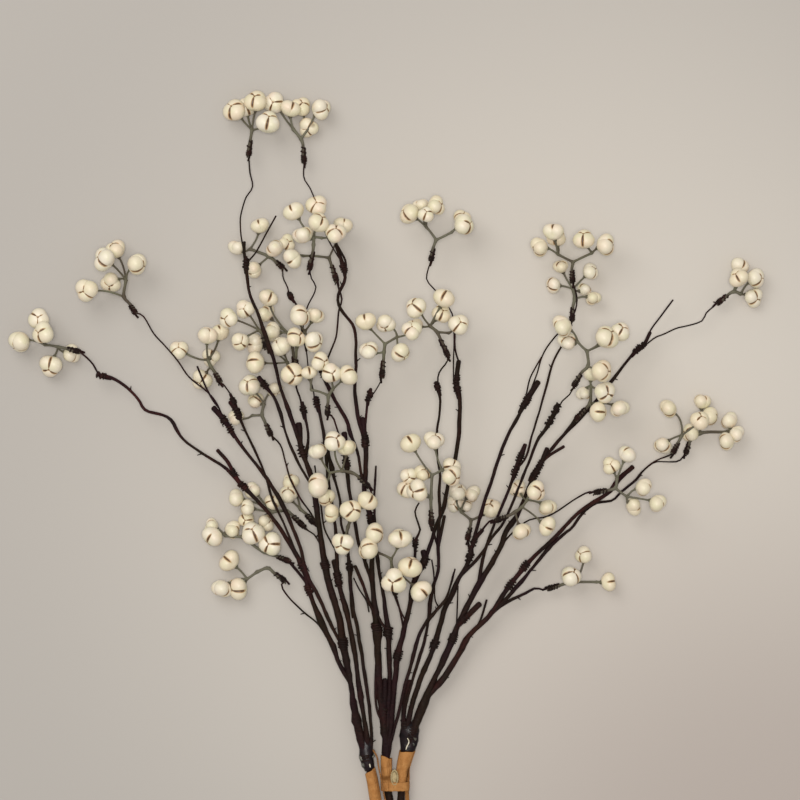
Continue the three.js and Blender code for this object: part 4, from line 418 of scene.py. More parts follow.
# Sleeves of glossy tape where the strands of a stem run together: how far down, and from where to where.
COLLARS = {
    "left_rod": rows("""738 360 370.6, 743 359.4 371.8, 748 359.2 372.6, 752 359.2 373.2,
                        757 359.4 373.4, 762 360.8 373.8, 767 363 374.4, 771 364.8 374.2"""),
    "right_rod": rows("""722 403 416, 727 401 418.6, 731 399.9 419, 736 399.8 419,
                         741 400 418.2, 746 400.3 416.6, 750 400.6 415.2, 752.5 401.2 414.4"""),
}

# Dark drops and threads of glue on the sleeves, and pale threads of painted highlight: the stem's rod, the kind,
# the radius and the route seen.
GLUE_AND_HIGHLIGHTS = records("""
left_rod; dark; 1.35; 360.6 756.6, 361.4 758.6, 362 760.4
left_rod; dark; 1.15; 362.6 763.4, 363.4 765.6, 364 767.2
left_rod; dark; 0.8; 373.4 750, 374.4 752.6, 374.2 755.4, 372.8 757
left_rod; pale; 0.42; 369.6 763.8, 370 765.6, 370.3 767
right_rod; pale; 0.36; 407.5 738.2, 408.9 740.6, 408.6 743.2, 407 746.2, 406 749.4
right_rod; dark; 1.1; 413.6 736.6, 414.8 738.2, 415.2 740
right_rod; dark; 0.95; 412.4 742.4, 413.4 743.8, 413.8 745.2
""", "\n")

# The paper wraps. In layout units: where the top and the foot are, and the folds, with where they are
# seen, how far they reach across and down, how dark their painted shade is, which also sets how deep they
# are dented, and how they lean. A fold is dented into the paper, and the shade in it is painted into the
# paper's colour. In millimetres: the radii at the top and the foot, how far the top is set down and how
# much it slants, how far the foot reaches on, and how far the outer edge lifts above and below. In radians:
# where the top is highest and where the outer edge ends.
WRAPS = {
    "wrap_left": {
        "rod": "left_rod", "top": 771, "bottom": 817, "top_radius": 3.7, "bottom_radius": 3.9,
        "set": 0.0, "slant": 2.1, "highest": 0.0, "foot": 0, "edge": 0.62, "lift": [0.3, 0.3],
        "folds": rows("380 786 1.6 18 0.55 0.2, 370.5 776 1.3 4 0.2 0.3")},
    "wrap_middle": {
        "rod": "middle_rod", "top": 757, "bottom": 792, "top_radius": 3.7, "bottom_radius": 3.4,
        "set": 0.9, "slant": 1.15, "highest": math.pi, "foot": 1.7, "edge": 0.9, "lift": [0.2, 0.2],
        "folds": rows("386 778.2 5.2 2.6 0.9 0, 383 771 1.3 6 0.45 0.4, 388.5 764 1 5 0.3 -0.2")},
    "wrap_right": {
        "rod": "right_rod", "top": 751, "bottom": 791, "top_radius": 5.2, "bottom_radius": 3.3,
        "set": 1.4, "slant": 0.5, "highest": -math.pi / 2, "foot": 1.5, "edge": 0.35, "lift": [0.1, 1.5],
        "folds": rows("408.2 776 1.7 9 0.75 -0.05, 401 766 1.2 9 0.25 -0.1")},
}

BAND = {"from": 388.6, "to": 401.8, "middle": 786, "height": 5.4, "radius": 4.5, "thickness": 0.5, "width": 5.5}
RING = {"across": 394.5, "down": 777.5, "height": 10.2, "radius": 4.6, "cord": 0.54, "squash": 0.45}
TWINE_RADIUS = 0.55
TWINE_PATH = rows("""373 750 10.2, 377 757 10, 378.5 766 10.2, 380.6 776.5 11.8, 382.3 786 12.35,
                     384.5 797 12, 387 806 9.9""")


# ---- From the layout to the row's frame -------------------------------------------------------------

def layout_unit(height):
    """How many millimetres one layout unit is at a height, as the eye sees it."""
    return LAYOUT_UNIT * (EYE_HEIGHT - height) / (EYE_HEIGHT - LAYOUT_PLANE)


def place(point):
    """Where a layout point is, in millimetres, before the shift into the row's frame."""
    across, down, height = point
    unit = layout_unit(height)
    return np.array([(across - LAYOUT_MIDDLE[0]) * unit, (LAYOUT_MIDDLE[1] - down) * unit, height])


def seen_from_above(point):
    """Where a point in millimetres is seen, in layout units: place() turned round."""
    unit = layout_unit(point[2])
    return LAYOUT_MIDDLE[0] + point[0] / unit, LAYOUT_MIDDLE[1] - point[1] / unit


rod_end = place(STRANDS["middle_rod"]["path"][-1])
band_left, band_right = (place((BAND[side], BAND["middle"], BAND["height"])) for side in ("from", "to"))
band_low, band_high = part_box("tie_band")
SHIFT = np.array([(band_low[0] + band_high[0]) / (2 * MM) - (band_left[0] + band_right[0]) / 2,
                  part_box("stem_middle")[0][1] / MM - rod_end[1],
                  0.0])


def unit_vector(way):
    length = np.linalg.norm(way)
    return way / length if length > 1e-9 else np.array([0.0, 0.0, 1.0])


def level_side(way):
    """The level direction at right angles to another."""
    return unit_vector(np.cross(way, UPWARDS))


def towards(start, end, distance):
    return end + unit_vector(end - start) * distance


def nearest_seen(points, target):
    return min(points, key=lambda point: math.hypot(point[0] - target[0], point[1] - target[1]))


def smooth_step(low, high, value):
    t = np.clip((value - low) / (high - low), 0, 1)
    return t * t * (3 - 2 * t)


def smooth_route(points, step, parts=16):
    """A centripetal Catmull-Rom route through the points, in even steps."""
    points = [points[0] * 2 - points[1]] + list(points) + [points[-1] * 2 - points[-2]]
    fine = []
    for p0, p1, p2, p3 in zip(points, points[1:], points[2:], points[3:]):
        d1 = max(np.linalg.norm(p2 - p1) ** 0.5, 1e-3)
        d0 = np.linalg.norm(p1 - p0) ** 0.5 or d1
        d2 = np.linalg.norm(p3 - p2) ** 0.5 or d1
        t1 = ((p1 - p0) / d0 - (p2 - p0) / (d0 + d1) + (p2 - p1) / d1) * d1
        t2 = ((p2 - p1) / d1 - (p3 - p1) / (d1 + d2) + (p3 - p2) / d2) * d1
        for part in range(parts):
            t = part / parts
            fine.append(p1 + t1 * t + (3 * (p2 - p1) - 2 * t1 - t2) * t * t
                        + (2 * (p1 - p2) + t1 + t2) * t ** 3)
    fine.append(points[-2])
    return even_steps(np.array(fine), step)


def placed_route(path, step):
    """A smooth route through layout points."""
    return smooth_route([place(point) for point in path], step)


def lengths_along(points):
    return np.concatenate([[0], np.cumsum(np.linalg.norm(np.diff(points, axis=0), axis=1))])


def even_steps(points, step):
    along = lengths_along(points)
    wanted = np.linspace(0, along[-1], max(2, int(round(along[-1] / step)) + 1))
    return np.column_stack([np.interp(wanted, along, points[:, k]) for k in range(3)])


# ---- Pieces -----------------------------------------------------------------------------------------

FLOOR_GAP = 0.02
ROUND_END = 0.45           # how far a tube's end stands out, in radii
ROUND_END_WIDTH = 0.55
HELIX_WOBBLE = 0.06


class Shape:
    """Collects vertices, faces, the material of each face and a few marks at each vertex."""

    def __init__(self, *marks):
        self.points = []
        self.faces = []
        self.slots = []
        self.marks = {mark: [] for mark in marks}
        self.count = 0

    def add(self, points, faces, slot=0, **marks):
        self.points.append(points)
        self.faces.extend([tuple(corner + self.count for corner in face) for face in faces])
        self.slots.extend([slot] * len(faces))
        for mark, values in self.marks.items():
            values.append(np.broadcast_to(marks.get(mark, 0.0), (len(points),)))
        self.count += len(points)

    def build(self, name, materials, node=None):
        """Makes the object, in the row's frame. Nothing reaches below the floor."""
        points = np.concatenate(self.points) + SHIFT
        points[:, 2] = np.maximum(points[:, 2], FLOOR_GAP)
        mesh = bpy.data.meshes.new(name)
        mesh.from_pydata((points * MM).tolist(), [], self.faces)
        for material in materials:
            mesh.materials.append(material)
        mesh.polygons.foreach_set("material_index", self.slots)
        mesh.polygons.foreach_set("use_smooth", [True] * len(self.faces))
        for mark, values in self.marks.items():
            layer = mesh.attributes.new(mark, "FLOAT", "POINT")
            layer.data.foreach_set("value", np.concatenate(values).astype(np.float32))
        mesh.update()
        piece = bpy.data.objects.new(name, mesh)
        bpy.context.scene.collection.objects.link(piece)
        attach(piece, "root")
        if node:
            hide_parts(node)


def walls(rings, sides, turned_over=False):
    """The faces between closed rings of points, from one ring to the next."""
    faces = []
    for i in range(rings - 1):
        for k in range(sides):
            near, far = i * sides + k, (i + 1) * sides + k
            near_next, far_next = i * sides + (k + 1) % sides, (i + 1) * sides + (k + 1) % sides
            faces.append((near, far, far_next, near_next) if turned_over else (near, near_next, far_next, far))
    return faces


def frames_along(points):
    """A direction along the route and two across it at each point, without twist."""
    ways = np.gradient(points, axis=0)
    ways /= np.maximum(np.linalg.norm(ways, axis=1), 1e-9)[:, None]
    side = np.cross(ways[0], UPWARDS)
    if np.linalg.norm(side) < 0.2:
        side = np.cross(ways[0], (1.0, 0, 0))
    sides = []
    for way in ways:
        side = unit_vector(side - way * np.dot(side, way))
        sides.append(side)
    sides = np.array(sides)
    return ways, sides, np.cross(ways, sides)


def add_tube(shape, points, radii, sides=8, slot=0, swell=None, **marks):
    """A round tube with rounded ends. swell changes the radius by (distance along, turn)."""
    points = np.asarray(points, float)
    radii = np.broadcast_to(np.asarray(radii, float), (len(points),))
    ways, across, up = frames_along(points)
    first = points[0] - ways[0] * radii[0] * ROUND_END
    last = points[-1] + ways[-1] * radii[-1] * ROUND_END
    points = np.vstack([first, points, last])
    radii = np.concatenate([[radii[0] * ROUND_END_WIDTH], radii, [radii[-1] * ROUND_END_WIDTH]])
    across = np.vstack([across[:1], across, across[-1:]])
    up = np.vstack([up[:1], up, up[-1:]])
    along = lengths_along(points)
    turn = np.linspace(0, FULL_TURN, sides, endpoint=False)
    width = radii[:, None] * np.ones(sides)
    if swell is not None:
        width = width * swell(along[:, None], turn[None, :])
    rings = (points[:, None, :]
             + across[:, None, :] * (width * np.cos(turn))[..., None]
             + up[:, None, :] * (width * np.sin(turn))[..., None])
    foot = (len(points) - 1) * sides
    faces = walls(len(points), sides) + [tuple(range(sides - 1, -1, -1)), tuple(range(foot, foot + sides))]
    shape.add(rings.reshape(-1, 3), faces, slot, along=np.repeat(along, sides), **marks)


def any_phase(rng):
    return rng.uniform(0, 6.28)


def helix(start, end, radii, turns, flat, rng, steps=9):
    """The route of a wire wound round the line from start to end."""
    way = unit_vector(end - start)
    across = level_side(way)
    up = np.cross(across, way)
    t = np.linspace(0, 1, int(turns * steps) + 1)
    angle = FULL_TURN * turns * t + any_phase(rng)
    wobble = np.interp(t, np.linspace(0, 1, 7), [rng.uniform(-HELIX_WOBBLE, HELIX_WOBBLE) for _ in range(7)])
    radius = np.interp(t, np.linspace(0, 1, len(radii)), radii) * (1 + wobble)
    shift = np.clip(t + 0.5 * wobble, 0, 1)
    return (start[None, :] + np.outer(shift, end - start)
            + across[None, :] * (radius * np.cos(angle))[:, None]
            + up[None, :] * (radius * flat * np.sin(angle))[:, None])


# ---- Bolls ------------------------------------------------------------------------------------------

LOBE_COLUMNS = ("seam", "near", "edge", 0.22, 0.36, 0.50, 0.64, 0.78, "far edge", "far")
CRACK_MARKS = {"seam": 1.0, "near": 0.62, "far": 0.62, "edge": 0.1, "far edge": 0.1}
BOLL_RINGS = 18
BOLL_SIZE = 1.09           # the lobes reach a little past the solid's plain radius
LOBE_OFFSET = 0.30
LOBE_LIFT = 0.12
UNDERSIDE_RADIUS = 0.93
TIP_DEPTH, BASE_DEPTH = 0.72, 0.80
ROUND_UNDER = (1.75, 2.6)  # the angles from the tip between which the lobes run into a round underside
ROUND_SHARE = 0.75
TAPER_UNDER = (1.9, 2.9)
TAPER = 0.10
SEAM_SWAY = 0.05
REACH_STEP = 12            # degrees
CRACK_FADE = (0.72, 1.02)  # the shares of its reach between which a crack closes
SEAM_GAP = 0.012
SEAM_WIDTH, CRACK_WIDTH = 0.010, 0.095
SEAM_DEPTH, CRACK_DEPTH = 0.04, 0.13
EDGE_WIDTH = 0.10
CALYX_EDGE = (0.90, 0.99)


def boll_pose(nodes, height, boll):
    """The middle of a boll, its radius and its fork."""
    across, down, radius, lean, lift = boll
    radius = radius * LAYOUT_UNIT
    node = nearest_seen(nodes, place((across, down, height)))
    rise = node[2] + BOLL_SEAT * radius * math.sin(math.radians(lean)) + lift
    middle = place((across, down, max(rise, BOLL_FLAT * radius)))
    return middle, radius, node


def turned(round_about, raised):
    """The direction at an angle round the picture and raised by another angle towards the viewer."""
    around, up = math.radians(round_about), math.radians(raised)
    return np.array([math.cos(around) * math.cos(up), math.sin(around) * math.cos(up), math.sin(up)])


def lobe_width(polar, aside, offset):
    """How far a lobe reaches, which is a ball set off from the axis, at an angle aside of its middle."""
    ball = 1 - offset
    along = offset * math.sin(polar) * math.cos(aside) + LOBE_LIFT * math.cos(polar)
    return along + math.sqrt(max(along * along - offset ** 2 - LOBE_LIFT ** 2 + ball * ball, 0.01))


def add_boll(shape, middle, radius, turns, stalk_way, rng):
    """Three bulging lobes round an axis, with a cracked seam between each two, which meet at the tip."""
    axis = turned(*turns[:2])
    side = unit_vector(np.cross(axis, (0.3, 0.2, 1.0)))
    up = np.cross(axis, side)
    seams = [math.radians(turns[2]) + FULL_TURN * k / 3 + rng.uniform(-SEAM_SWAY, SEAM_SWAY)
             for k in range(3)]
    reach = [math.radians(REACH_STEP * (code // 10) + rng.uniform(0, 6)) for code in turns[3:]]
    gape = [(code % 10) / 10 for code in turns[3:]]
    bulge = [rng.uniform(0.97, 1.03) for _ in range(3)]
    offset = LOBE_OFFSET * rng.uniform(0.72, 1.22)
    stretch = BOLL_HEIGHT * rng.uniform(0.96, 1.05)
    tint = rng.random()
    points = []
    cracks = []
    for ring in range(1, BOLL_RINGS):
        polar = math.pi * ring / BOLL_RINGS
        out = math.sin(polar)
        plain = ROUND_SHARE * smooth_step(*ROUND_UNDER, polar)
        taper = 1 - TAPER * smooth_step(*TAPER_UNDER, polar)
        for lobe in range(3):
            following = (lobe + 1) % 3
            start = seams[lobe]
            end = seams[following] + (FULL_TURN if following == 0 else 0)
            for column in LOBE_COLUMNS:
                at = following if column in ("far", "far edge") else lobe
                fade = 1 - smooth_step(*CRACK_FADE, polar / reach[at])
                open_here = math.sin(math.pi * min(1, polar / reach[at]) ** 0.8)
                half = SEAM_GAP + (SEAM_WIDTH + CRACK_WIDTH * gape[at] * open_here) * fade / max(out, 0.3)
                turn = {"seam": start, "near": start + half, "edge": start + half + EDGE_WIDTH,
                        "far edge": end - half - EDGE_WIDTH, "far": end - half}.get(column)
                if turn is None:
                    turn = start + column * (end - start)
                aside = (turn - (start + end) / 2) * (FULL_TURN / 3) / (end - start)
                width = lobe_width(polar, aside, offset) * bulge[lobe]
                width = width * (1 - plain) + UNDERSIDE_RADIUS * plain
                if column == "seam":
                    valley = lobe_width(polar, math.pi / 3, offset) * (1 - plain) + UNDERSIDE_RADIUS * plain
                    width = min(width, valley) - (SEAM_DEPTH + CRACK_DEPTH * gape[lobe] * open_here) * fade
                width *= taper
                points.append((out * math.cos(turn) * width, out * math.sin(turn) * width,
                               math.cos(polar) * width * stretch))
                cracks.append(CRACK_MARKS.get(column, 0.0) * fade)
    tip, base = len(points), len(points) + 1
    points += [(0, 0, TIP_DEPTH * stretch), (0, 0, -BASE_DEPTH * stretch)]
    cracks += [1.0, 0.0]
    columns = 3 * len(LOBE_COLUMNS)
    foot = tip - columns
    faces = [(tip, k, (k + 1) % columns) for k in range(columns)]
    faces += walls(BOLL_RINGS - 1, columns, turned_over=True)
    faces += [(foot + (k + 1) % columns, foot + k, base) for k in range(columns)]
    local = np.array(points)
    world = local[:, :1] * side + local[:, 1:2] * up + local[:, 2:] * axis
    calyx = smooth_step(*CALYX_EDGE, world @ -stalk_way / np.linalg.norm(world, axis=1))
    shape.add(middle + radius * BOLL_SIZE * world, faces, 0, crack=np.array(cracks), calyx=calyx, tint=tint)


# ---- Sprays -----------------------------------------------------------------------------------------

STALK_SIDES = 8
STALK_TIP, STALK_FOOT = 0.88, 1.03
FORK_SWELL, FORK_LENGTH = 0.42, 1.3
ARM_RADII = (0.78, 1.2)    # in the middle, and at the fork
PEDICEL_RADII = (0.62, 0.95)
PEDICEL_SIDES = 7
PEDICEL_BOW = 0.05
PEDICEL_FLARE = 1.2        # the length over which a pedicel is thicker at its ends
BOLL_END = 0.80            # where a pedicel meets its boll, in the boll's radii
CALYX_PLACES = (-1.1, -0.4, 0.3)
CALYX_RADII = (0.7, 1.15, 1.5)


def placed(points, height, carried=False):
    """Points in millimetres. One without a height takes the spray's, or the last one given if carried."""
    out = []
    for across, down, *own in points:
        at = own[0] if own else height
        height = at if carried else height
        out.append(place((across, down, at)))
    return out


def stalk_points(spray):
    return placed(spray["stalk"], spray["height"], carried=True)


def bound_end(spray):
    bend, end = stalk_points(spray)[-2:]
    return towards(end, bend, -BEND_ROOM), end


def binding_side(name):
    """On which side of its branch a stub is bound."""
    return 1 if sum(map(ord, name)) % 2 else -1


def add_pedicel(shape, start, end, radii, rng, tint, lead=None):
    """A slightly bent stalk, thicker at both ends, that comes in along the axis of its boll."""
    thin, thick = radii
    length = np.linalg.norm(end - start)
    bow = np.array([rng.uniform(-1, 1), rng.uniform(-1, 1), rng.uniform(-0.3, 1)]) * PEDICEL_BOW * length
    if lead is not None:
        bow += (end - lead * 0.45 * length - (start + end) / 2) * 0.5
    t = np.linspace(0, 1, max(5, int(length / 1.4)))
    route = start + np.outer(t, end - start) + np.outer(4 * t * (1 - t), bow)
    flares = (np.exp(-(t * length / PEDICEL_FLARE) ** 2)
              + 0.7 * np.exp(-((1 - t) * length / PEDICEL_FLARE) ** 2))
    add_tube(shape, route, thin + (thick - thin) * flares, PEDICEL_SIDES, tint=tint)


def add_spray(name, spray, rng):
    """The bolls of one spray as one piece, and its stalk with the pedicels as another."""
    *forks, bend, end = stalk_points(spray)
    arms = placed(spray["arms"], spray["height"])
    nodes = forks + arms
    bolls = Shape("crack", "calyx", "tint")
    stalks = Shape("tint", "bound")
    aside = level_side(end - bend) * binding_side(name)
    line = forks + [bend, towards(bend, end, -3) + aside * 0.5, towards(bend, end, 1.8) + aside * 0.8]
    route = smooth_route(line, 1.6)
    along = lengths_along(route)
    near_fork = np.min([np.linalg.norm(route - fork, axis=1) for fork in nodes], axis=0)
    radii = STALK_TIP + (STALK_FOOT - STALK_TIP) * (along / along[-1])
    radii = radii + FORK_SWELL * np.exp(-(near_fork / FORK_LENGTH) ** 2)
    tint = rng.random()
    bound = smooth_step(-3, 1, along - (along[-1] - np.linalg.norm(end - bend) - 1))
    bound = np.repeat(np.concatenate([bound[:1], bound, bound[-1:]]), STALK_SIDES)
    add_tube(stalks, route, radii, STALK_SIDES, tint=tint, bound=bound)
    for arm in arms:
        add_pedicel(stalks, nearest_seen(forks, arm), arm, ARM_RADII, rng, tint)
    for boll in spray["bolls"]:
        turns = boll[5:]
        middle, radius, node = boll_pose(nodes, spray["height"], boll[:5])
        axis = unit_vector(turned(*turns[:2]) * 0.35 + unit_vector(middle - node))
        add_boll(bolls, middle, radius, turns, axis, rng)
        back = middle - axis * radius * BOLL_END
        if np.linalg.norm(middle - node) > radius:
            add_pedicel(stalks, node, back, PEDICEL_RADII, rng, tint, axis)
            add_tube(stalks, [back + axis * at for at in CALYX_PLACES], CALYX_RADII, STALK_SIDES, tint=tint * 0.5)
    label = name.replace("spray_", "")
    bolls.build("bolls_" + label, [BOLL_MATERIAL], name)
    stalks.build("stalks_" + label, [STALK_MATERIAL])


# ---- Stems ------------------------------------------------------------------------------------------

STRAND_STEP = 3
BOLD_RADIUS = 1.1          # a strand that gets thicker than this is wound in ridges
TWIG_RADIUS = 1.2          # a cut end thicker than this has turns of wire round its foot
BOLD_SIDES, THIN_SIDES = 14, 8
WAVER = 0.16               # how far a strand strays sideways, and in shares of its radius how it swells
WIRE_SWELL, STRAND_SWELL = 0.08, 0.10
CALM_LENGTH = 12           # near its ends a strand strays less
LUMP_EVERY = 22
LUMP_SWELLS = (0.05, 0.26)
LUMP_LENGTHS = (1.5, 4.5)
TWISTS = (0.05, 0.12)      # radians in a millimetre
KNOT_SWELL = 0.40
WINDING_HALVES = (0.34, 0.52)
WINDING_TURNS = (3.0, 4.6)
WINDING_WIRE, STEEP_WIRE, CUT_WIRE = 0.54, 0.42, 0.4
SPIKE_RADII = (0.5, 0.42, 0.28)
SPIKE_GAPS = (22, 70)
SPIKE_SIZES = (1.2, 2.6)
BINDING_WIRE, TIGHT_WIRE, LOOSE_WIRE = 0.70, 0.44, 0.42
BINDING_FLAT = 0.85
TIGHT_PITCH = 0.98
SHORT_WIRE = 0.8           # from a stub that is bound to another stub, to the strand
# The last slot is for the pale threads on the sleeves, which are painted highlights.
BARK, WIRE, COLLAR, LUMP, PAINTED_HIGHLIGHT = range(5)
COLLAR_SIDES = 30
COLLAR_SWELL = (-1.3, -0.55, 0.0, 0.2, 0.3)
routes = {}
drawn = {}


def strand_route(name):
    """The route of a strand from its tip to its foot, which closes in on the strand that it joins."""
    if name not in routes:
        strand = STRANDS[name]
        points = []
        if strand["holds"]:
            start, end = bound_end(SPRAYS[strand["holds"][0]])
            points.append(towards(start, end, 0.3 * BINDING_TAIL))
        points += [place(point) for point in strand["path"]]
        if strand["joins"]:
            points += merging(strand_route(strand["joins"]), points[-1])
        routes[name] = smooth_route(points, STRAND_STEP)
    return routes[name]


def merging(parent, last):
    """Two points on the parent that a strand runs into, further down the parent than where it is near."""
    apart = np.hypot(parent[:, 0] - last[0], parent[:, 1] - last[1])
    at = int(np.argmin(apart))
    reach = int(round(max(9.0, 2.8 * apart[at]) / STRAND_STEP))
    first = min(at + reach, len(parent) - 3)
    second = min(first + 3, len(parent) - 1)
    return [parent[first].copy(), parent[second].copy()]


def root_of(name):
    joins = STRANDS[name]["joins"]
    return root_of(joins) if joins else name


def wavering(count, rng):
    """Random values from -1 to 1 that change softly from one to the next."""
    values = np.array([rng.uniform(-1, 1) for _ in range(count + 2)])
    return values[:-2] * 0.25 + values[1:-1] * 0.5 + values[2:] * 0.25


def add_thin_wire(shape, route, radii, start, thin, rng, red):
    """The bare wire above the first knot, which passes beside the strand's cut end. Returns that end."""
    wire = route[:start + 3].copy()
    way = unit_vector(route[start] - route[start + 2])
    aside = level_side(way) * rng.choice((-1, 1))
    near = np.clip(1 - np.abs(np.arange(len(wire)) - start - 1) / 4.0, 0, 1)
    wire += aside * (radii[start] + thin * 0.4) * smooth_step(0, 1, near)[:, None]
    radii = thin * (1 + WIRE_SWELL * wavering(len(wire), rng))
    add_tube(shape, wire, radii, THIN_SIDES, BARK, red=red)
    return route[start] + way * rng.uniform(2.5, 5.5) - aside * 0.3


def add_strand(shape, name, rng):
    """A thin wire down to the first knot, and from there a thicker wound strand with a cut end."""
    strand = STRANDS[name]
    thick = strand["thick"]
    route = strand_route(name).copy()
    along = lengths_along(route)
    knots = []
    for across, down in strand["knots"]:
        seen = nearest_seen(route, place((across, down, LAYOUT_PLANE)))
        knots.append(int(np.argmin(np.linalg.norm(route - seen, axis=1))))
    ends = np.minimum(1, np.minimum(along, along[-1] - along) / CALM_LENGTH)[:, None]
    route += np.column_stack([wavering(len(route), rng) for _ in range(3)]) * ends * WAVER
    red = 0.15 + 0.75 * rng.random() ** 2
    start = knots[0] if knots else 0
    radii = np.interp(np.linspace(0, 1, len(route)), np.linspace(0, 1, len(thick)), thick)
    if knots and strand["holds"] and start > 2:
        ahead = min(start + 6, len(radii) - 1)
        radii[start:ahead] = np.maximum(radii[start:ahead], radii[ahead])
        cut_end = add_thin_wire(shape, route, radii, start, thick[0], rng, red)
        route = np.vstack([cut_end, route[start:]])
        radii = np.concatenate([[radii[start]], radii[start:]])
        knots = [knot - start + 1 for knot in knots]
    bold = max(thick) > BOLD_RADIUS
    along = lengths_along(route)
    for knot in knots:
        away = np.abs(along - along[knot])
        radii = radii + KNOT_SWELL * np.exp(-(away / (0.50 * KNOT_LENGTH)) ** 4)
    for _ in range(int(along[-1] / LUMP_EVERY) if bold else 0):
        away = np.abs(along - rng.uniform(4, max(5, along[-1] - 4)))
        radii = radii * (1 + rng.uniform(*LUMP_SWELLS) * np.exp(-(away / rng.uniform(*LUMP_LENGTHS)) ** 2))
    radii = radii * (1 + STRAND_SWELL * wavering(len(route), rng))
    ridges = rng.choice((2, 3)) if bold else 2
    ridge_depth, lump_depth = (0.11, 0.07) if bold else (0.05, 0.03)
    twist = rng.choice((-1, 1)) * rng.uniform(*TWISTS)
    phase = any_phase(rng)

    def swell(distance, turn):
        lumps = np.sin(0.83 * distance + phase) * np.sin(0.31 * distance + 2 * phase + turn)
        return 1 + ridge_depth * np.cos(ridges * (turn + twist * distance)) + lump_depth * lumps

    add_tube(shape, route, radii, BOLD_SIDES if bold else THIN_SIDES, BARK, swell, red=red)
    drawn[name] = (route, radii)
    for knot in knots:
        add_winding(shape, route, radii, knot, rng, red)
    add_spikes(shape, route, radii, rng)


def add_wire_end(shape, wire, bend, way, low, high, rng, red):
    """The cut end of a wound wire, which stands off a little."""
    end = wire[-1] + unit_vector(wire[-1] - wire[-3]) * bend + way * rng.uniform(low, high)
    add_tube(shape, [wire[-1], (wire[-1] + end) / 2, end], CUT_WIRE, 5, WIRE, red=red)


def add_winding(shape, route, radii, at, rng, red):
    """Turns of wire over a knot, loose and uneven, with a cut end."""
    way = unit_vector(route[min(at + 1, len(route) - 1)] - route[max(at - 1, 0)])
    middle = route[at]
    half = KNOT_LENGTH * rng.uniform(*WINDING_HALVES)
    top = radii[at] + 0.20
    turns = rng.uniform(*WINDING_TURNS)
    tilt = level_side(way) * rng.uniform(-0.5, 0.5)
    wire = helix(middle - way * half - tilt, middle + way * half + tilt,
                 [top, top + 0.25, top + 0.1, top + 0.3, top], turns, 1.0, rng)
    add_tube(shape, wire, WINDING_WIRE, 7, WIRE, red=red)
    low, high = sorted((rng.uniform(-0.9, -0.3), rng.uniform(0.3, 0.9)))
    steep = helix(middle + way * half * low, middle + way * half * high,
                  [top + 0.3, top + 0.55, top + 0.3], rng.uniform(0.8, 1.4), 1.0, rng, 14)
    add_tube(shape, steep, STEEP_WIRE, 6, WIRE, red=red)
    if rng.random() < 0.6:
        add_wire_end(shape, wire, 0.9, way, 0.8, 1.8, rng, red)


def add_spikes(shape, route, radii, rng):
    """Short cut wire ends that stand off a strand here and there."""
    along = lengths_along(route)
    distance = rng.uniform(12, 40)
    while distance < along[-1] - 15:
        at = int(np.searchsorted(along, distance))
        way = unit_vector(route[max(at - 1, 0)] - route[min(at + 1, len(route) - 1)])
        side = level_side(way) * rng.choice((-1, 1))
        lift = np.array([0, 0, rng.uniform(-0.2, 0.7)])
        size = rng.uniform(*SPIKE_SIZES)
        start = route[at]
        end = start + (way * rng.uniform(0.6, 1.4) + side + lift) * size * 0.8 + side * radii[at] * 0.6
        if start[2] > 4 + radii[at]:
            add_tube(shape, [start, (start + end) / 2 + way * 0.15, end], SPIKE_RADII, 5, WIRE)
        distance += rng.uniform(*SPIKE_GAPS)


def add_binding(shape, name, rng):
    """Loops of dark wire that hold a stub to its branch's own wire, which lies along it."""
    start, end = bound_end(SPRAYS[name])
    way = unit_vector(end - start)
    aside = level_side(way) * -binding_side(name)
    tail = end + way * 2.0
    length = np.linalg.norm(tail - start)
    line = smooth_route([start - way * rng.uniform(-1.0, 0.8) + aside * 0.9,
                         start + way * 0.5 * length + aside * 0.85, tail + aside * 0.5, tail + way * 3], 1.5)
    add_tube(shape, line, BINDING_WIRE, THIN_SIDES, BARK, red=0.3)
    red = rng.random() * 0.7
    low = rng.uniform(0.50, 0.62)
    tight = helix(start + way * low * length, tail - way * 0.2, [1.35, 1.75, 1.7, 1.3],
                  length * (1 - low) / TIGHT_PITCH, BINDING_FLAT, rng, 10)
    add_tube(shape, tight, TIGHT_WIRE, 6, WIRE, red=red)
    loose = helix(start + way * 0.3, start + way * (low * length + 0.4), [1.25, 1.65, 1.6],
                  rng.uniform(1.5, 3.0), BINDING_FLAT, rng, 12)
    add_tube(shape, loose, LOOSE_WIRE, 6, WIRE, red=red)
    if rng.random() < 0.7:
        add_wire_end(shape, tight, 1.1, way, 0.6, 1.6, rng, red)


def add_snag(shape, joins, radius, path, rng):
    """A cut end or a bare twig that is bound to a branch."""
    points = [place(point) for point in path]
    parent = strand_route(joins)
    foot = nearest_seen(parent, points[-1])
    points[-1] = points[-1] * 0.45 + foot * 0.55
    apart = np.linalg.norm(parent - foot, axis=1)
    points.append(parent[min(int(np.argmin(apart)) + 2, len(parent) - 1)].copy())
    route = smooth_route(points, 2)
    radii = np.full(len(route), radius * 0.92)
    thick = radius > TWIG_RADIUS

    def swell(distance, turn):
        return 1 + (0.10 if thick else 0.03) * np.cos(3 * turn + 0.2 * distance)

    add_tube(shape, route, radii, 10 if thick else 7, BARK, swell, red=rng.random() ** 2)
    if thick:
        add_winding(shape, route, radii, len(route) * 2 // 3, rng, 0.2)


def strands_across(root, down):
    """The lowest and the highest that the strands of a stem reach at a distance down the picture."""
    y = place((LAYOUT_MIDDLE[0], down, 8))[1]
    reach = []
    for name, (route, radii) in drawn.items():
        at = int(np.argmin(np.abs(route[:, 1] - y)))
        if root_of(name) == root and abs(route[at, 1] - y) < 3:
            reach += [route[at, 2] - radii[at], route[at, 2] + radii[at]]
    return min(reach), max(reach)


def power(values, exponent):
    """A power that keeps the sign."""
    return np.sign(values) * np.abs(values) ** exponent


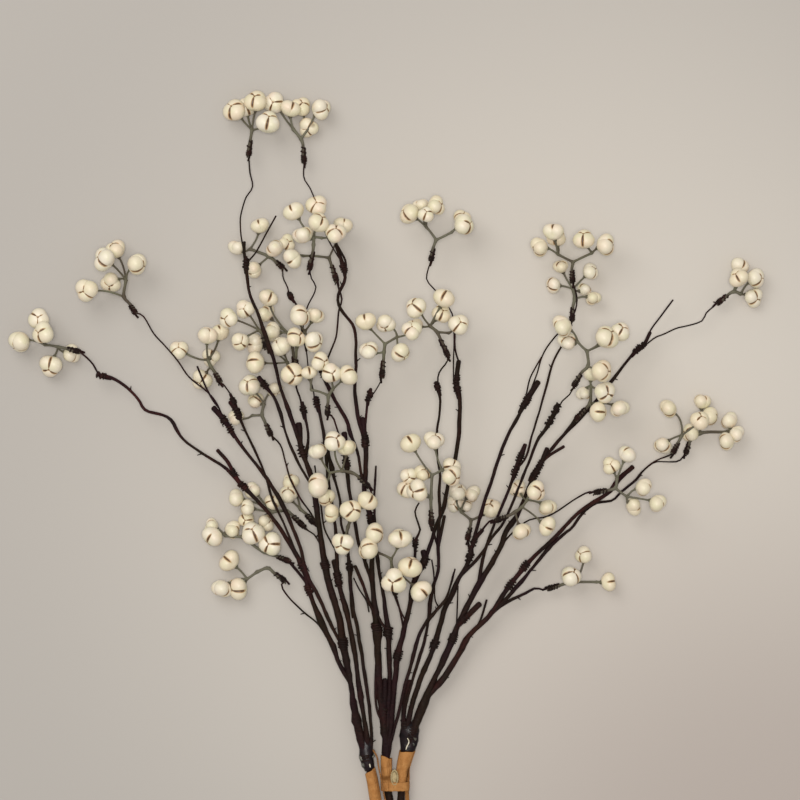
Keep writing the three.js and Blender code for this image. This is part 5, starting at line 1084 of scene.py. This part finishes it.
def add_collar(shape, root, rng):
    """A lumpy sleeve of tape round the strands, with dark drops and threads of glue and pale threads of painted
    highlight on it.
    """
    turn = np.linspace(0, FULL_TURN, COLLAR_SIDES, endpoint=False)
    phase = any_phase(rng)
    rings = []
    for number, (down, low, high) in enumerate(COLLARS[root]):
        bottom, top = strands_across(root, down)
        height = (bottom + top) / 2
        half = (top - bottom) / 2 + COLLAR_SWELL[min(number, len(COLLAR_SWELL) - 1)]
        start, end = place((low, down, height)), place((high, down, height))
        lump = 1 + 0.045 * np.sin(3 * turn + 0.35 * down + phase) + 0.035 * np.sin(7 * turn - 0.6 * down)
        ring = np.tile((start + end) / 2, (len(turn), 1))
        ring[:, 0] += power(np.cos(turn), 0.85) * (end[0] - start[0]) / 2 * lump
        ring[:, 2] += power(np.sin(turn), 0.8) * half * lump
        rings.append(ring)
    shut = [ring * 0.35 + ring.mean(axis=0) * 0.65 for ring in (rings[0], rings[-1])]
    surface = np.concatenate(rings)
    rings = np.array([shut[0]] + rings + [shut[1]])
    foot = (len(rings) - 1) * COLLAR_SIDES
    faces = walls(len(rings), COLLAR_SIDES, turned_over=True)
    faces += [tuple(range(COLLAR_SIDES)), tuple(range(foot + COLLAR_SIDES - 1, foot - 1, -1))]
    shape.add(rings.reshape(-1, 3), faces, COLLAR, red=0.3)
    for on_rod, kind, radius, path in GLUE_AND_HIGHLIGHTS:
        if on_rod != root:
            continue
        # A pale thread is a painted highlight, set in a little; a dark one is a drop of glue.
        slot, sunk = (PAINTED_HIGHLIGHT, 0.2) if kind == "pale" else (LUMP, 0.9)
        route = []
        for across, down in rows(path):
            point = place((across, down, 8))
            near = np.hypot(surface[:, 0] - point[0], surface[:, 1] - point[1]) < 2.6
            top = surface[near, 2].max() if near.any() else surface[:, 2].mean()
            point[2] = top - float(radius) * sunk
            route.append(point)
        line = smooth_route(route, 0.5)
        bulge = 0.72 + 0.28 * np.sin(np.linspace(0.3, math.pi - 0.3, len(line)))
        add_tube(shape, line, float(radius) * bulge, 10, slot, red=0.2)


def add_stem(root, node):
    rng = random.Random(SEED + len(root) + ord(root[0]))
    shape = Shape("along", "red")
    for name, strand in STRANDS.items():
        if root_of(name) != root:
            continue
        add_strand(shape, name, rng)
        for number, held in enumerate(strand["holds"]):
            add_binding(shape, held, rng)
            if number > 0:
                end = bound_end(SPRAYS[held])[1]
                foot = min(strand_route(name)[2:], key=lambda point: np.linalg.norm(point - end))
                add_tube(shape, [end, (end + foot) / 2, foot], SHORT_WIRE, 7, BARK, red=0.3)
    for joins, radius, path in SNAGS:
        if root_of(joins) == root:
            add_snag(shape, joins, float(radius), rows(path), rng)
    for rod, radius, path in LOOSE_WIRES:
        if rod == root:
            line = placed_route(rows(path), 1.6)
            radii = float(radius) * (1 + STRAND_SWELL * wavering(len(line), rng))
            add_tube(shape, line, radii, THIN_SIDES, BARK, red=rng.random() ** 2)
    if root in COLLARS:
        add_collar(shape, root, rng)
    shape.build(node + "_wound", [BARK_MATERIAL, WIRE_MATERIAL, COLLAR_MATERIAL, LUMP_MATERIAL, HIGHLIGHT_MATERIAL],
                node)


# ---- Wraps and tie ----------------------------------------------------------------------------------

PAPER_THICKNESS = 0.28
PAPER_TURNS = 72
PAPER_ROWS = 40
PAPER_LAP = 0.9            # radians
LAP_STEP = 0.36
FOLD_DEPTH = 0.30
TAIL_ROWS, TAIL_COLUMNS = 12, 4
TAIL_LENGTH = 21           # layout units
BAND_ROWS = 9
RING_STEPS = 28
RING_PITCH, TWINE_PITCH = 2.6, 2.4
# The film of glue in the ring: its rims, as shares of the ring's size and heights.
GLUE_FILM = ((0.05, -0.22), (0.5, -0.14), (0.88, 0), (0.5, 0.14), (0.05, 0.22))


def add_sheet(shape, outer, inner, **marks):
    """A closed sheet between two grids of points of the same size."""
    count, columns = outer.shape[:2]
    at = np.arange(count * columns).reshape(count, columns)
    under = at + count * columns
    faces = []
    for i in range(count - 1):
        for k in range(columns - 1):
            faces.append((at[i, k], at[i, k + 1], at[i + 1, k + 1], at[i + 1, k]))
            faces.append((under[i, k], under[i + 1, k], under[i + 1, k + 1], under[i, k + 1]))
    rim = list(at[0, :-1]) + list(at[:-1, -1]) + list(at[-1, :0:-1]) + list(at[:0:-1, 0])
    for a, b in zip(rim, rim[1:] + rim[:1]):
        faces.append((b, a, a + count * columns, b + count * columns))
    shape.add(np.concatenate([outer.reshape(-1, 3), inner.reshape(-1, 3)]), faces, **marks)


def fold_dent_and_shade(point, folds):
    """How strong the deepest fold is at a point: how dark its painted shade is, which also sets its dent."""
    across, down = seen_from_above(point)
    dark = 0.0
    for at, middle, wide, tall, depth, lean in folds:
        aside = (across - at - lean * (down - middle)) / wide
        dark = max(dark, depth * math.exp(-aside ** 2 - ((down - middle) / tall) ** 4))
    return dark


def add_wrap(node, wrap, seed):
    """Kraft paper rolled round a rod, with a lapped edge, a slanting top, pressed creases and dented folds with
    painted shade in them.
    """
    rng = random.Random(seed)
    top = place((LAYOUT_MIDDLE[0], wrap["top"], LAYOUT_PLANE))[1] - wrap["set"]
    bottom = place((LAYOUT_MIDDLE[0], wrap["bottom"], LAYOUT_PLANE))[1] - wrap["foot"]
    route = strand_route(wrap["rod"])
    route = route[route[:, 1] < top + 40]
    waves = [(rng.randint(2, 7), any_phase(rng), rng.uniform(0.1, 0.5), rng.uniform(-0.02, 0.02))
             for _ in range(9)]
    outer = np.zeros((PAPER_ROWS, PAPER_TURNS, 3))
    inner = np.zeros_like(outer)
    dark = np.zeros((PAPER_ROWS, PAPER_TURNS))
    whole = FULL_TURN + PAPER_LAP
    for i in range(PAPER_ROWS):
        fall = i / (PAPER_ROWS - 1)
        for k in range(PAPER_TURNS):
            share = k / (PAPER_TURNS - 1)
            turn = wrap["edge"] + (share - 1) * whole
            y = top + (bottom - top) * fall
            y -= wrap["slant"] * (1 - math.cos(turn - wrap["highest"])) * (1 - fall)
            if i in (0, PAPER_ROWS - 1):
                y += 0.25 * math.sin(3 * turn + seed)
            middle = np.array([np.interp(-y, -route[:, 1], route[:, 0]), y,
                               np.interp(-y, -route[:, 1], route[:, 2])])
            crease = sum(size * math.cos(n * turn + phase + pitch * (y - top)) for n, phase, pitch, size in waves)
            layer = LAP_STEP * (1 - smooth_step(PAPER_LAP / whole, 2 * PAPER_LAP / whole, share))
            lifted = np.interp(fall, (0.45, 0.7), wrap["lift"]) * smooth_step(0.86, 1.0, share)
            radius = wrap["top_radius"] + (wrap["bottom_radius"] - wrap["top_radius"]) * fall
            radius = radius * (0.985 + 0.35 * crease) - layer + lifted
            direction = np.array([math.cos(turn), 0, math.sin(turn)])
            # On the side that faces up, a fold is dented in and gets painted shade in its colour.
            if direction[2] > 0:
                dark[i, k] = fold_dent_and_shade(middle + direction * radius, wrap["folds"])
                radius -= FOLD_DEPTH * dark[i, k]
            outer[i, k] = middle + direction * radius
            inner[i, k] = middle + direction * (radius - PAPER_THICKNESS)
    shape = Shape("dark")
    add_sheet(shape, outer, inner, dark=np.concatenate([dark.ravel(), dark.ravel()]))
    if node == "wrap_right":
        add_tail(shape)
    shape.build(node + "_paper", [PAPER_MATERIAL], node)


def add_tail(shape):
    """A loose strip of paper that hangs out of the foot of the right wrap."""
    outer = np.zeros((TAIL_ROWS, TAIL_COLUMNS, 3))
    for i in range(TAIL_ROWS):
        t = i / (TAIL_ROWS - 1)
        for k in range(TAIL_COLUMNS):
            height = 5.6 - 1.6 * t + 0.35 * math.sin(2.2 * k + 3 * t)
            outer[i, k] = place((404.6 + 1.2 * t + k * 1.35, 788.6 + TAIL_LENGTH * t, height))
    add_sheet(shape, outer, outer - np.array([0, 0, PAPER_THICKNESS]), dark=0.45)


def add_rope(shape, route, radius, pitch, rng):
    """Two plies twisted together along a route."""
    route = even_steps(np.asarray(route, float), 0.45)
    _, across, up = frames_along(route)
    along = lengths_along(route)
    phase = any_phase(rng)
    for ply in range(2):
        angle = FULL_TURN * along / pitch + phase + ply * math.pi
        line = route + radius * 0.45 * (across * np.cos(angle)[:, None] + up * np.sin(angle)[:, None])
        add_tube(shape, line, radius * 0.58, 6)


def add_band():
    """A paper strip wound once round two of the wraps, with its end laid over its start."""
    shape = Shape("dark")
    left, right = band_left[0], band_right[0]
    loop = [(left, math.pi * (0.5 + k / 20)) for k in range(21)]
    loop += [(right, math.pi * (-0.5 + k / 20)) for k in range(21)]
    loop += [(right + (left - 1.2 - right) * k / 8, math.pi / 2) for k in range(1, 9)]
    outer = np.zeros((BAND_ROWS, len(loop), 3))
    inner = np.zeros_like(outer)
    for i in range(BAND_ROWS):
        t = i / (BAND_ROWS - 1)
        for k, (across, angle) in enumerate(loop):
            bent = 0.10 * math.sin(5.1 * k + 4 * t) + 0.12 * math.sin(9 * t + 1.3 * k) - 0.12
            y = band_left[1] + BAND["width"] * (0.5 - t) + 0.14 * math.sin(2.3 * k) * abs(2 * t - 1)
            way = np.array([math.cos(angle), 0, math.sin(angle)])
            middle = np.array([across, y, BAND["height"]])
            dip = -0.62 * smooth_step(46, 48, k)
            outer[i, k] = middle + way * (BAND["radius"] + BAND["thickness"] + bent + dip)
            inner[i, k] = middle + way * (BAND["radius"] + bent * 0.5 + dip)
    add_sheet(shape, outer, inner, dark=0.12)
    shape.build("tie_strip", [PAPER_MATERIAL], "tie_band")


def add_ring(rng):
    """The small ring of cord on the band, with a film of glue inside it."""
    centre = place((RING["across"], RING["down"], RING["height"]))
    ring = []
    for k in range(RING_STEPS + 1):
        angle = FULL_TURN * k / RING_STEPS - 1.3
        ring.append(centre + np.array([RING["radius"] * RING["squash"] * math.cos(angle),
                                       RING["radius"] * math.sin(angle), 0.25 * math.sin(angle)]))
    cord = Shape()
    add_rope(cord, ring, RING["cord"], RING_PITCH, rng)
    cord.build("tie_ring", [RING_MATERIAL], "tie_band")
    film = Shape()
    points = [centre + (point - centre) * share + np.array([0, 0, rise])
              for share, rise in GLUE_FILM for point in ring[:RING_STEPS]]
    faces = [face[::-1] for face in walls(len(GLUE_FILM), RING_STEPS, turned_over=True)]
    faces += [tuple(range(RING_STEPS - 1, -1, -1)), tuple(range(len(points) - RING_STEPS, len(points)))]
    film.add(np.array(points), faces)
    film.build("tie_glue", [RING_MATERIAL], "tie_band")


def add_twine(rng):
    """The twine along the left wrap."""
    twine = Shape()
    add_rope(twine, placed_route(TWINE_PATH, 1), TWINE_RADIUS, TWINE_PITCH, rng)
    twine.build("tie_twisted_twine", [CORD_MATERIAL], "tie_twine")


# ---- Materials --------------------------------------------------------------------------------------

# Colours, in linear light.
CREAM = (0.78, 0.715, 0.585)
STRAW = (0.72, 0.62, 0.425)
GREENISH = (0.68, 0.645, 0.42)
ROSY = (0.77, 0.59, 0.45)
CRACK_RIM = (0.44, 0.25, 0.09)
CRACK_DEEP = (0.075, 0.031, 0.011)
CALYX_BROWN = (0.30, 0.23, 0.14)
STALK_GREEN = (0.132, 0.128, 0.080)
STALK_BROWN = (0.070, 0.052, 0.034)
STALK_GREY = (0.152, 0.146, 0.105)
STALK_BOUND = (0.048, 0.034, 0.022)
STALK_SPECK = (0.055, 0.042, 0.028)
BARK_PLUM = (0.0150, 0.0062, 0.0075)
BARK_BROWN = (0.0155, 0.0095, 0.0048)
BARK_RED = (0.048, 0.011, 0.0095)
BARK_WORN = (0.036, 0.019, 0.013)
BARK_DARK = (0.006, 0.004, 0.004)
WIRE_BLACK = (0.0125, 0.0070, 0.0055)
WIRE_RED = (0.052, 0.014, 0.011)
WIRE_WORN = (0.034, 0.020, 0.014)
PAPER_BROWN = (0.46, 0.222, 0.072)
PAPER_DEEP = (0.33, 0.138, 0.038)
PAPER_FIBRE = (0.56, 0.32, 0.14)
PAPER_FLECK = (0.17, 0.075, 0.025)
# The colour that the mark dark mixes in: painted shade in the wraps' folds, and a darker tone on the tail and the
# band.
PAPER_FOLD_SHADE = (0.13, 0.048, 0.009)
TWINE_GOLD = (0.36, 0.165, 0.050)
TWINE_BROWN = (0.17, 0.070, 0.020)
CORD_OLIVE = (0.47, 0.38, 0.21)
CORD_BROWN = (0.30, 0.225, 0.115)
TAPE_BLACK = (0.005, 0.003, 0.004)
TAPE_BROWN = (0.016, 0.008, 0.009)
GLUE_BLACK = (0.028, 0.026, 0.020)
GLUE_OLIVE = (0.13, 0.125, 0.095)
# The pale threads on the sleeves, in two tones: painted highlights.
HIGHLIGHT_PALE = (0.80, 0.75, 0.62)
HIGHLIGHT_YELLOW = (0.64, 0.57, 0.40)
FLOOR_PALE = (0.570, 0.530, 0.477)
FLOOR_PALER = (0.584, 0.543, 0.487)
# Painted light falloff and painted corner shade on the floor, darker than its palest spot.
FLOOR_PAINTED_FALLOFF = (0.415, 0.390, 0.360)
FLOOR_PAINTED_CORNER_SHADE = (0.420, 0.372, 0.338)


class Nodes:
    """A material's node tree, with its shader."""

    def __init__(self, name, roughness, specular):
        self.material = bpy.data.materials.new(name)
        self.material.use_nodes = True
        self.tree = self.material.node_tree
        self.shader = self.tree.nodes["Principled BSDF"]
        self.shader.inputs["Roughness"].default_value = roughness
        self.shader.inputs["Specular IOR Level"].default_value = specular

    def fill(self, socket, value):
        if isinstance(value, bpy.types.NodeSocket):
            self.tree.links.new(value, socket)
        else:
            socket.default_value = value

    def add(self, kind, inputs, **settings):
        node = self.tree.nodes.new("ShaderNode" + kind)
        for key, value in settings.items():
            setattr(node, key, value)
        for socket, value in inputs.items():
            self.fill(node.inputs[socket], value)
        return node

    def mark(self, name):
        return self.add("Attribute", {}, attribute_name=name).outputs["Fac"]

    def place(self):
        return self.add("TexCoord", {}).outputs["Object"]

    def shifted(self, distance):
        """Places moved aside, for a second pattern that doesn't follow the first."""
        return self.add("Mapping", {"Vector": self.place(), "Location": (distance,) * 3}).outputs[0]

    def noise(self, scale, detail=3.0, roughness=0.55, vector=None):
        return self.add("TexNoise", {"Vector": vector or self.place(), "Scale": scale, "Detail": detail,
                                     "Roughness": roughness}).outputs["Fac"]

    def spread(self, value, low, high, to_low=0.0, to_high=1.0):
        return self.add("MapRange", {"Value": value, "From Min": low, "From Max": high,
                                     "To Min": to_low, "To Max": to_high}).outputs["Result"]

    def near(self, spot, start, end):
        """Rises softly from 0 to 1 between two distances from a spot."""
        away = self.add("VectorMath", {0: self.place(), 1: spot}, operation="DISTANCE").outputs["Value"]
        return self.add("MapRange", {"Value": away, "From Min": start, "From Max": end},
                        interpolation_type="SMOOTHSTEP").outputs["Result"]

    def maths(self, operation, a, b):
        return self.add("Math", {0: a, 1: b}, operation=operation).outputs[0]

    def mix(self, share, a, b):
        colours = [value if isinstance(value, bpy.types.NodeSocket) else (*value, 1.0) for value in (a, b)]
        return self.add("Mix", {0: share, 6: colours[0], 7: colours[1]}, data_type="RGBA").outputs[2]

    def blotched(self, base, colour, scale, detail, low, high, most=1.0, **pattern):
        """A second colour over the base where a noise goes from low to high, at most so strong."""
        return self.mix(self.spread(self.noise(scale, detail, **pattern), low, high, 0.0, most), base, colour)

    def colour(self, socket):
        self.tree.links.new(socket, self.shader.inputs["Base Color"])

    def bump(self, height, strength, distance):
        node = self.add("Bump", {"Height": height, "Strength": strength, "Distance": distance})
        self.tree.links.new(node.outputs["Normal"], self.shader.inputs["Normal"])


def boll_material():
    """Dry waxy cream, a little yellower or greener from place to place, with brown cracks."""
    nodes = Nodes("boll_wax", 0.40, 0.50)
    tint = nodes.spread(nodes.mark("tint"), 0, 1, 0.0, 0.75)
    base = nodes.mix(tint, CREAM, STRAW)
    base = nodes.blotched(base, GREENISH, 130, 2, 0.42, 0.66, 0.60)
    base = nodes.blotched(base, ROSY, 95, 2, 0.50, 0.70, 0.50, vector=nodes.shifted(3.1))
    crack = nodes.maths("MULTIPLY", nodes.mark("crack"), nodes.spread(nodes.noise(500), 0.3, 0.7, 0.85, 1.2))
    base = nodes.mix(nodes.spread(crack, 0.10, 0.50, 0.0, 0.85), base, CRACK_RIM)
    base = nodes.mix(nodes.spread(crack, 0.55, 0.85), base, CRACK_DEEP)
    nodes.colour(nodes.mix(nodes.spread(nodes.mark("calyx"), 0.2, 1.0, 0.0, 0.8), base, CALYX_BROWN))
    nodes.bump(nodes.noise(1400, 4), 0.10, 0.0004)
    return nodes.material


def stalk_material():
    """Grey-green dried stalk that turns brown in places."""
    nodes = Nodes("stalk_dry", 0.62, 0.25)
    base = nodes.blotched(STALK_GREEN, STALK_BROWN, 70, 3, 0.35, 0.65)
    base = nodes.mix(nodes.spread(nodes.mark("tint"), 0.2, 1.0, 0.0, 0.6), base, STALK_GREY)
    base = nodes.mix(nodes.maths("MULTIPLY", nodes.mark("bound"), 0.75), base, STALK_BOUND)
    nodes.colour(nodes.blotched(base, STALK_SPECK, 900, 2, 0.55, 0.75, 0.5))
    nodes.bump(nodes.noise(1100, 3), 0.4, 0.0004)
    return nodes.material


def bark_material():
    """Dark wound branch: brown-black with reddish stretches and lengthwise ridges."""
    nodes = Nodes("branch_bark", 0.55, 0.08)
    base = nodes.blotched(BARK_PLUM, BARK_BROWN, 28, 2, 0.40, 0.60, vector=nodes.shifted(1.7))
    patch = nodes.maths("MULTIPLY", nodes.spread(nodes.noise(55, 3), 0.42, 0.68), nodes.mark("red"))
    base = nodes.mix(patch, base, BARK_RED)
    base = nodes.blotched(base, BARK_WORN, 420, 4, 0.55, 0.80, 0.6, roughness=0.65)
    nodes.colour(nodes.blotched(base, BARK_DARK, 800, 3, 0.48, 0.30, 0.8))
    nodes.fill(nodes.shader.inputs["Roughness"], nodes.spread(nodes.noise(300, 2), 0.3, 0.7, 0.40, 0.72))
    bands = nodes.add("TexNoise", {"W": nodes.mark("along"), "Scale": 0.9, "Detail": 3.0, "Roughness": 0.7},
                      noise_dimensions="1D").outputs["Fac"]
    height = nodes.maths("ADD", nodes.maths("MULTIPLY", bands, 1.1), nodes.noise(700, 4, 0.65))
    nodes.bump(height, 0.7, 0.0006)
    return nodes.material


def wire_material():
    """Thin paper-covered binding wire, nearly black."""
    nodes = Nodes("binding_wire", 0.50, 0.10)
    tone = nodes.maths("MULTIPLY", nodes.spread(nodes.noise(160, 3), 0.40, 0.70), nodes.mark("red"))
    base = nodes.mix(tone, WIRE_BLACK, WIRE_RED)
    nodes.colour(nodes.blotched(base, WIRE_WORN, 900, 3, 0.55, 0.8, 0.55))
    nodes.bump(nodes.noise(1500, 3), 0.4, 0.0003)
    return nodes.material


def paper_material():
    """Brown kraft paper with fibres, pressed creases and a few dark flecks, and painted shade in the wraps'
    folds.
    """
    nodes = Nodes("kraft_paper", 0.78, 0.12)
    base = nodes.blotched(PAPER_BROWN, PAPER_DEEP, 220, 4, 0.3, 0.7, roughness=0.6)
    stretched = nodes.add("Mapping", {"Vector": nodes.place(), "Scale": (1.0, 0.12, 1.0)}).outputs[0]
    fibres = nodes.noise(2600, 3, 0.6, vector=stretched)
    base = nodes.mix(nodes.spread(fibres, 0.55, 0.8, 0.0, 0.5), base, PAPER_FIBRE)
    base = nodes.blotched(base, PAPER_FLECK, 900, 3, 0.62, 0.75, 0.7)
    # Painted shade where the mark dark is set, mostly in the wraps' folds.
    nodes.colour(nodes.mix(nodes.mark("dark"), base, PAPER_FOLD_SHADE))
    creases = nodes.add("TexVoronoi", {"Vector": nodes.place(), "Scale": 210.0}, feature="DISTANCE_TO_EDGE")
    pressed = nodes.spread(creases.outputs["Distance"], 0.0, 0.12)
    nodes.bump(nodes.maths("ADD", pressed, nodes.maths("MULTIPLY", fibres, 0.3)), 0.5, 0.0004)
    return nodes.material


def cord_material(name, pale, deep):
    """Twisted cord with darker fibres."""
    nodes = Nodes(name, 0.80, 0.2)
    base = nodes.blotched(pale, deep, 500, 4, 0.3, 0.7)
    nodes.colour(nodes.blotched(base, tuple(part * 0.45 for part in deep), 2300, 3, 0.55, 0.75, 0.5))
    nodes.bump(nodes.noise(2600, 3), 0.5, 0.0003)
    return nodes.material


def smeared_material(name, roughness, specular, blotches, bumps):
    """Tape, glue and the pale threads of painted highlight, each in two tones: the tones with their noise, and
    the bumps' noise, strength and size.
    """
    nodes = Nodes(name, roughness, specular)
    nodes.colour(nodes.blotched(*blotches))
    nodes.bump(nodes.noise(*bumps[:2]), *bumps[2:])
    return nodes.material


def floor_material():
    """Pale matte floor with painted light: palest under the middle of the bunch, with painted falloff away from
    there and painted shade at one corner of the picture.
    """
    nodes = Nodes("floor_matte", 0.85, 0.2)
    base = nodes.blotched(FLOOR_PALE, FLOOR_PALER, 3, 2, 0.3, 0.7)
    # Painted light: the floor is palest near one spot and its colour falls off away from it.
    base = nodes.mix(nodes.near((0.14, 0.07, 0.0), 0.04, 0.44), base, FLOOR_PAINTED_FALLOFF)
    # Painted shade towards one corner of the picture.
    base = nodes.mix(nodes.near((0.24, -0.20, 0.0), 0.34, 0.04), base, FLOOR_PAINTED_CORNER_SHADE)
    nodes.colour(base)
    return nodes.material


BOLL_MATERIAL = boll_material()
STALK_MATERIAL = stalk_material()
BARK_MATERIAL = bark_material()
WIRE_MATERIAL = wire_material()
PAPER_MATERIAL = paper_material()
CORD_MATERIAL = cord_material("golden_twine", TWINE_GOLD, TWINE_BROWN)
RING_MATERIAL = cord_material("olive_cord", CORD_OLIVE, CORD_BROWN)
COLLAR_MATERIAL = smeared_material("glossy_tape", 0.30, 0.16, (TAPE_BLACK, TAPE_BROWN, 260, 3, 0.4, 0.7),
                                   (420, 3, 0.35, 0.0006))
LUMP_MATERIAL = smeared_material("smeared_glue", 0.30, 0.5, (GLUE_BLACK, GLUE_OLIVE, 420, 3, 0.38, 0.62),
                                 (600, 3, 0.4, 0.0005))
# Pale glossy threads on the sleeves: painted highlights.
HIGHLIGHT_MATERIAL = smeared_material("painted_highlight", 0.25, 0.5, (HIGHLIGHT_PALE, HIGHLIGHT_YELLOW, 600, 2, 0.3, 0.7),
                                 (900, 2, 0.2, 0.0003))

# ---- The whole bunch --------------------------------------------------------------------------------

for number, (spray_name, spray) in enumerate(SPRAYS.items()):
    add_spray(spray_name, spray, random.Random(SEED + 31 * number))
for side in ("left", "middle", "right"):
    add_stem(side + "_rod", "stem_" + side)
for number, (node, wrap) in enumerate(WRAPS.items()):
    add_wrap(node, wrap, SEED + number)
tie_rng = random.Random(SEED + 7)
add_band()
add_ring(tie_rng)
add_twine(tie_rng)

# ---- Floor, light and camera ------------------------------------------------------------------------

FLOOR_SIZE = 6.0
FILM_WIDTH = 36
WORLD_COLOUR = (1.0, 0.98, 0.955, 1)
WORLD_STRENGTH = 0.48
centre = SHIFT * MM
floor_mesh = bpy.data.meshes.new("floor")
corners = [(FLOOR_SIZE * x, FLOOR_SIZE * y, 0) for x, y in ((-1, -1), (1, -1), (1, 1), (-1, 1))]
floor_mesh.from_pydata(corners, [], [(0, 1, 2, 3)])
floor_mesh.materials.append(floor_material())
floor = bpy.data.objects.new("floor", floor_mesh)
bpy.context.scene.collection.objects.link(floor)

# Each light: where it is, where it points, its size, its power and its colour. The fill is on the
# camera's axis, so that the shadows under the bunch stay soft.
LIGHTS = {
    "key": ((-0.75, 1.00, 1.60), (0, 0.10, 0), 1.3, 14, (1.0, 0.985, 0.960)),
    "fill": ((centre[0], centre[1], 2.6), (centre[0], centre[1], 0), 0.5, 30, (1.0, 0.97, 0.94)),
}
for name, (where, target, size, power, colour) in LIGHTS.items():
    light_data = bpy.data.lights.new(name, "AREA")
    light_data.size = size
    light_data.energy = power
    light_data.color = colour
    light = bpy.data.objects.new(name, light_data)
    light.location = where
    light.rotation_euler = (Vector(target) - Vector(where)).to_track_quat("-Z", "Y").to_euler()
    bpy.context.scene.collection.objects.link(light)

world = bpy.data.worlds.new("studio")
world.use_nodes = True
background = world.node_tree.nodes["Background"]
background.inputs["Color"].default_value = WORLD_COLOUR
background.inputs["Strength"].default_value = WORLD_STRENGTH
bpy.context.scene.world = world
bpy.context.scene.view_settings.view_transform = "Standard"

camera_data = bpy.data.cameras.new("camera")
camera_data.sensor_width = FILM_WIDTH
camera_data.lens = FILM_WIDTH * (EYE_HEIGHT - LAYOUT_PLANE) / (PICTURE_WIDTH * LAYOUT_UNIT)
camera = bpy.data.objects.new("camera", camera_data)
camera.location = (centre[0], centre[1], EYE_HEIGHT * MM)
bpy.context.scene.collection.objects.link(camera)
bpy.context.scene.camera = camera
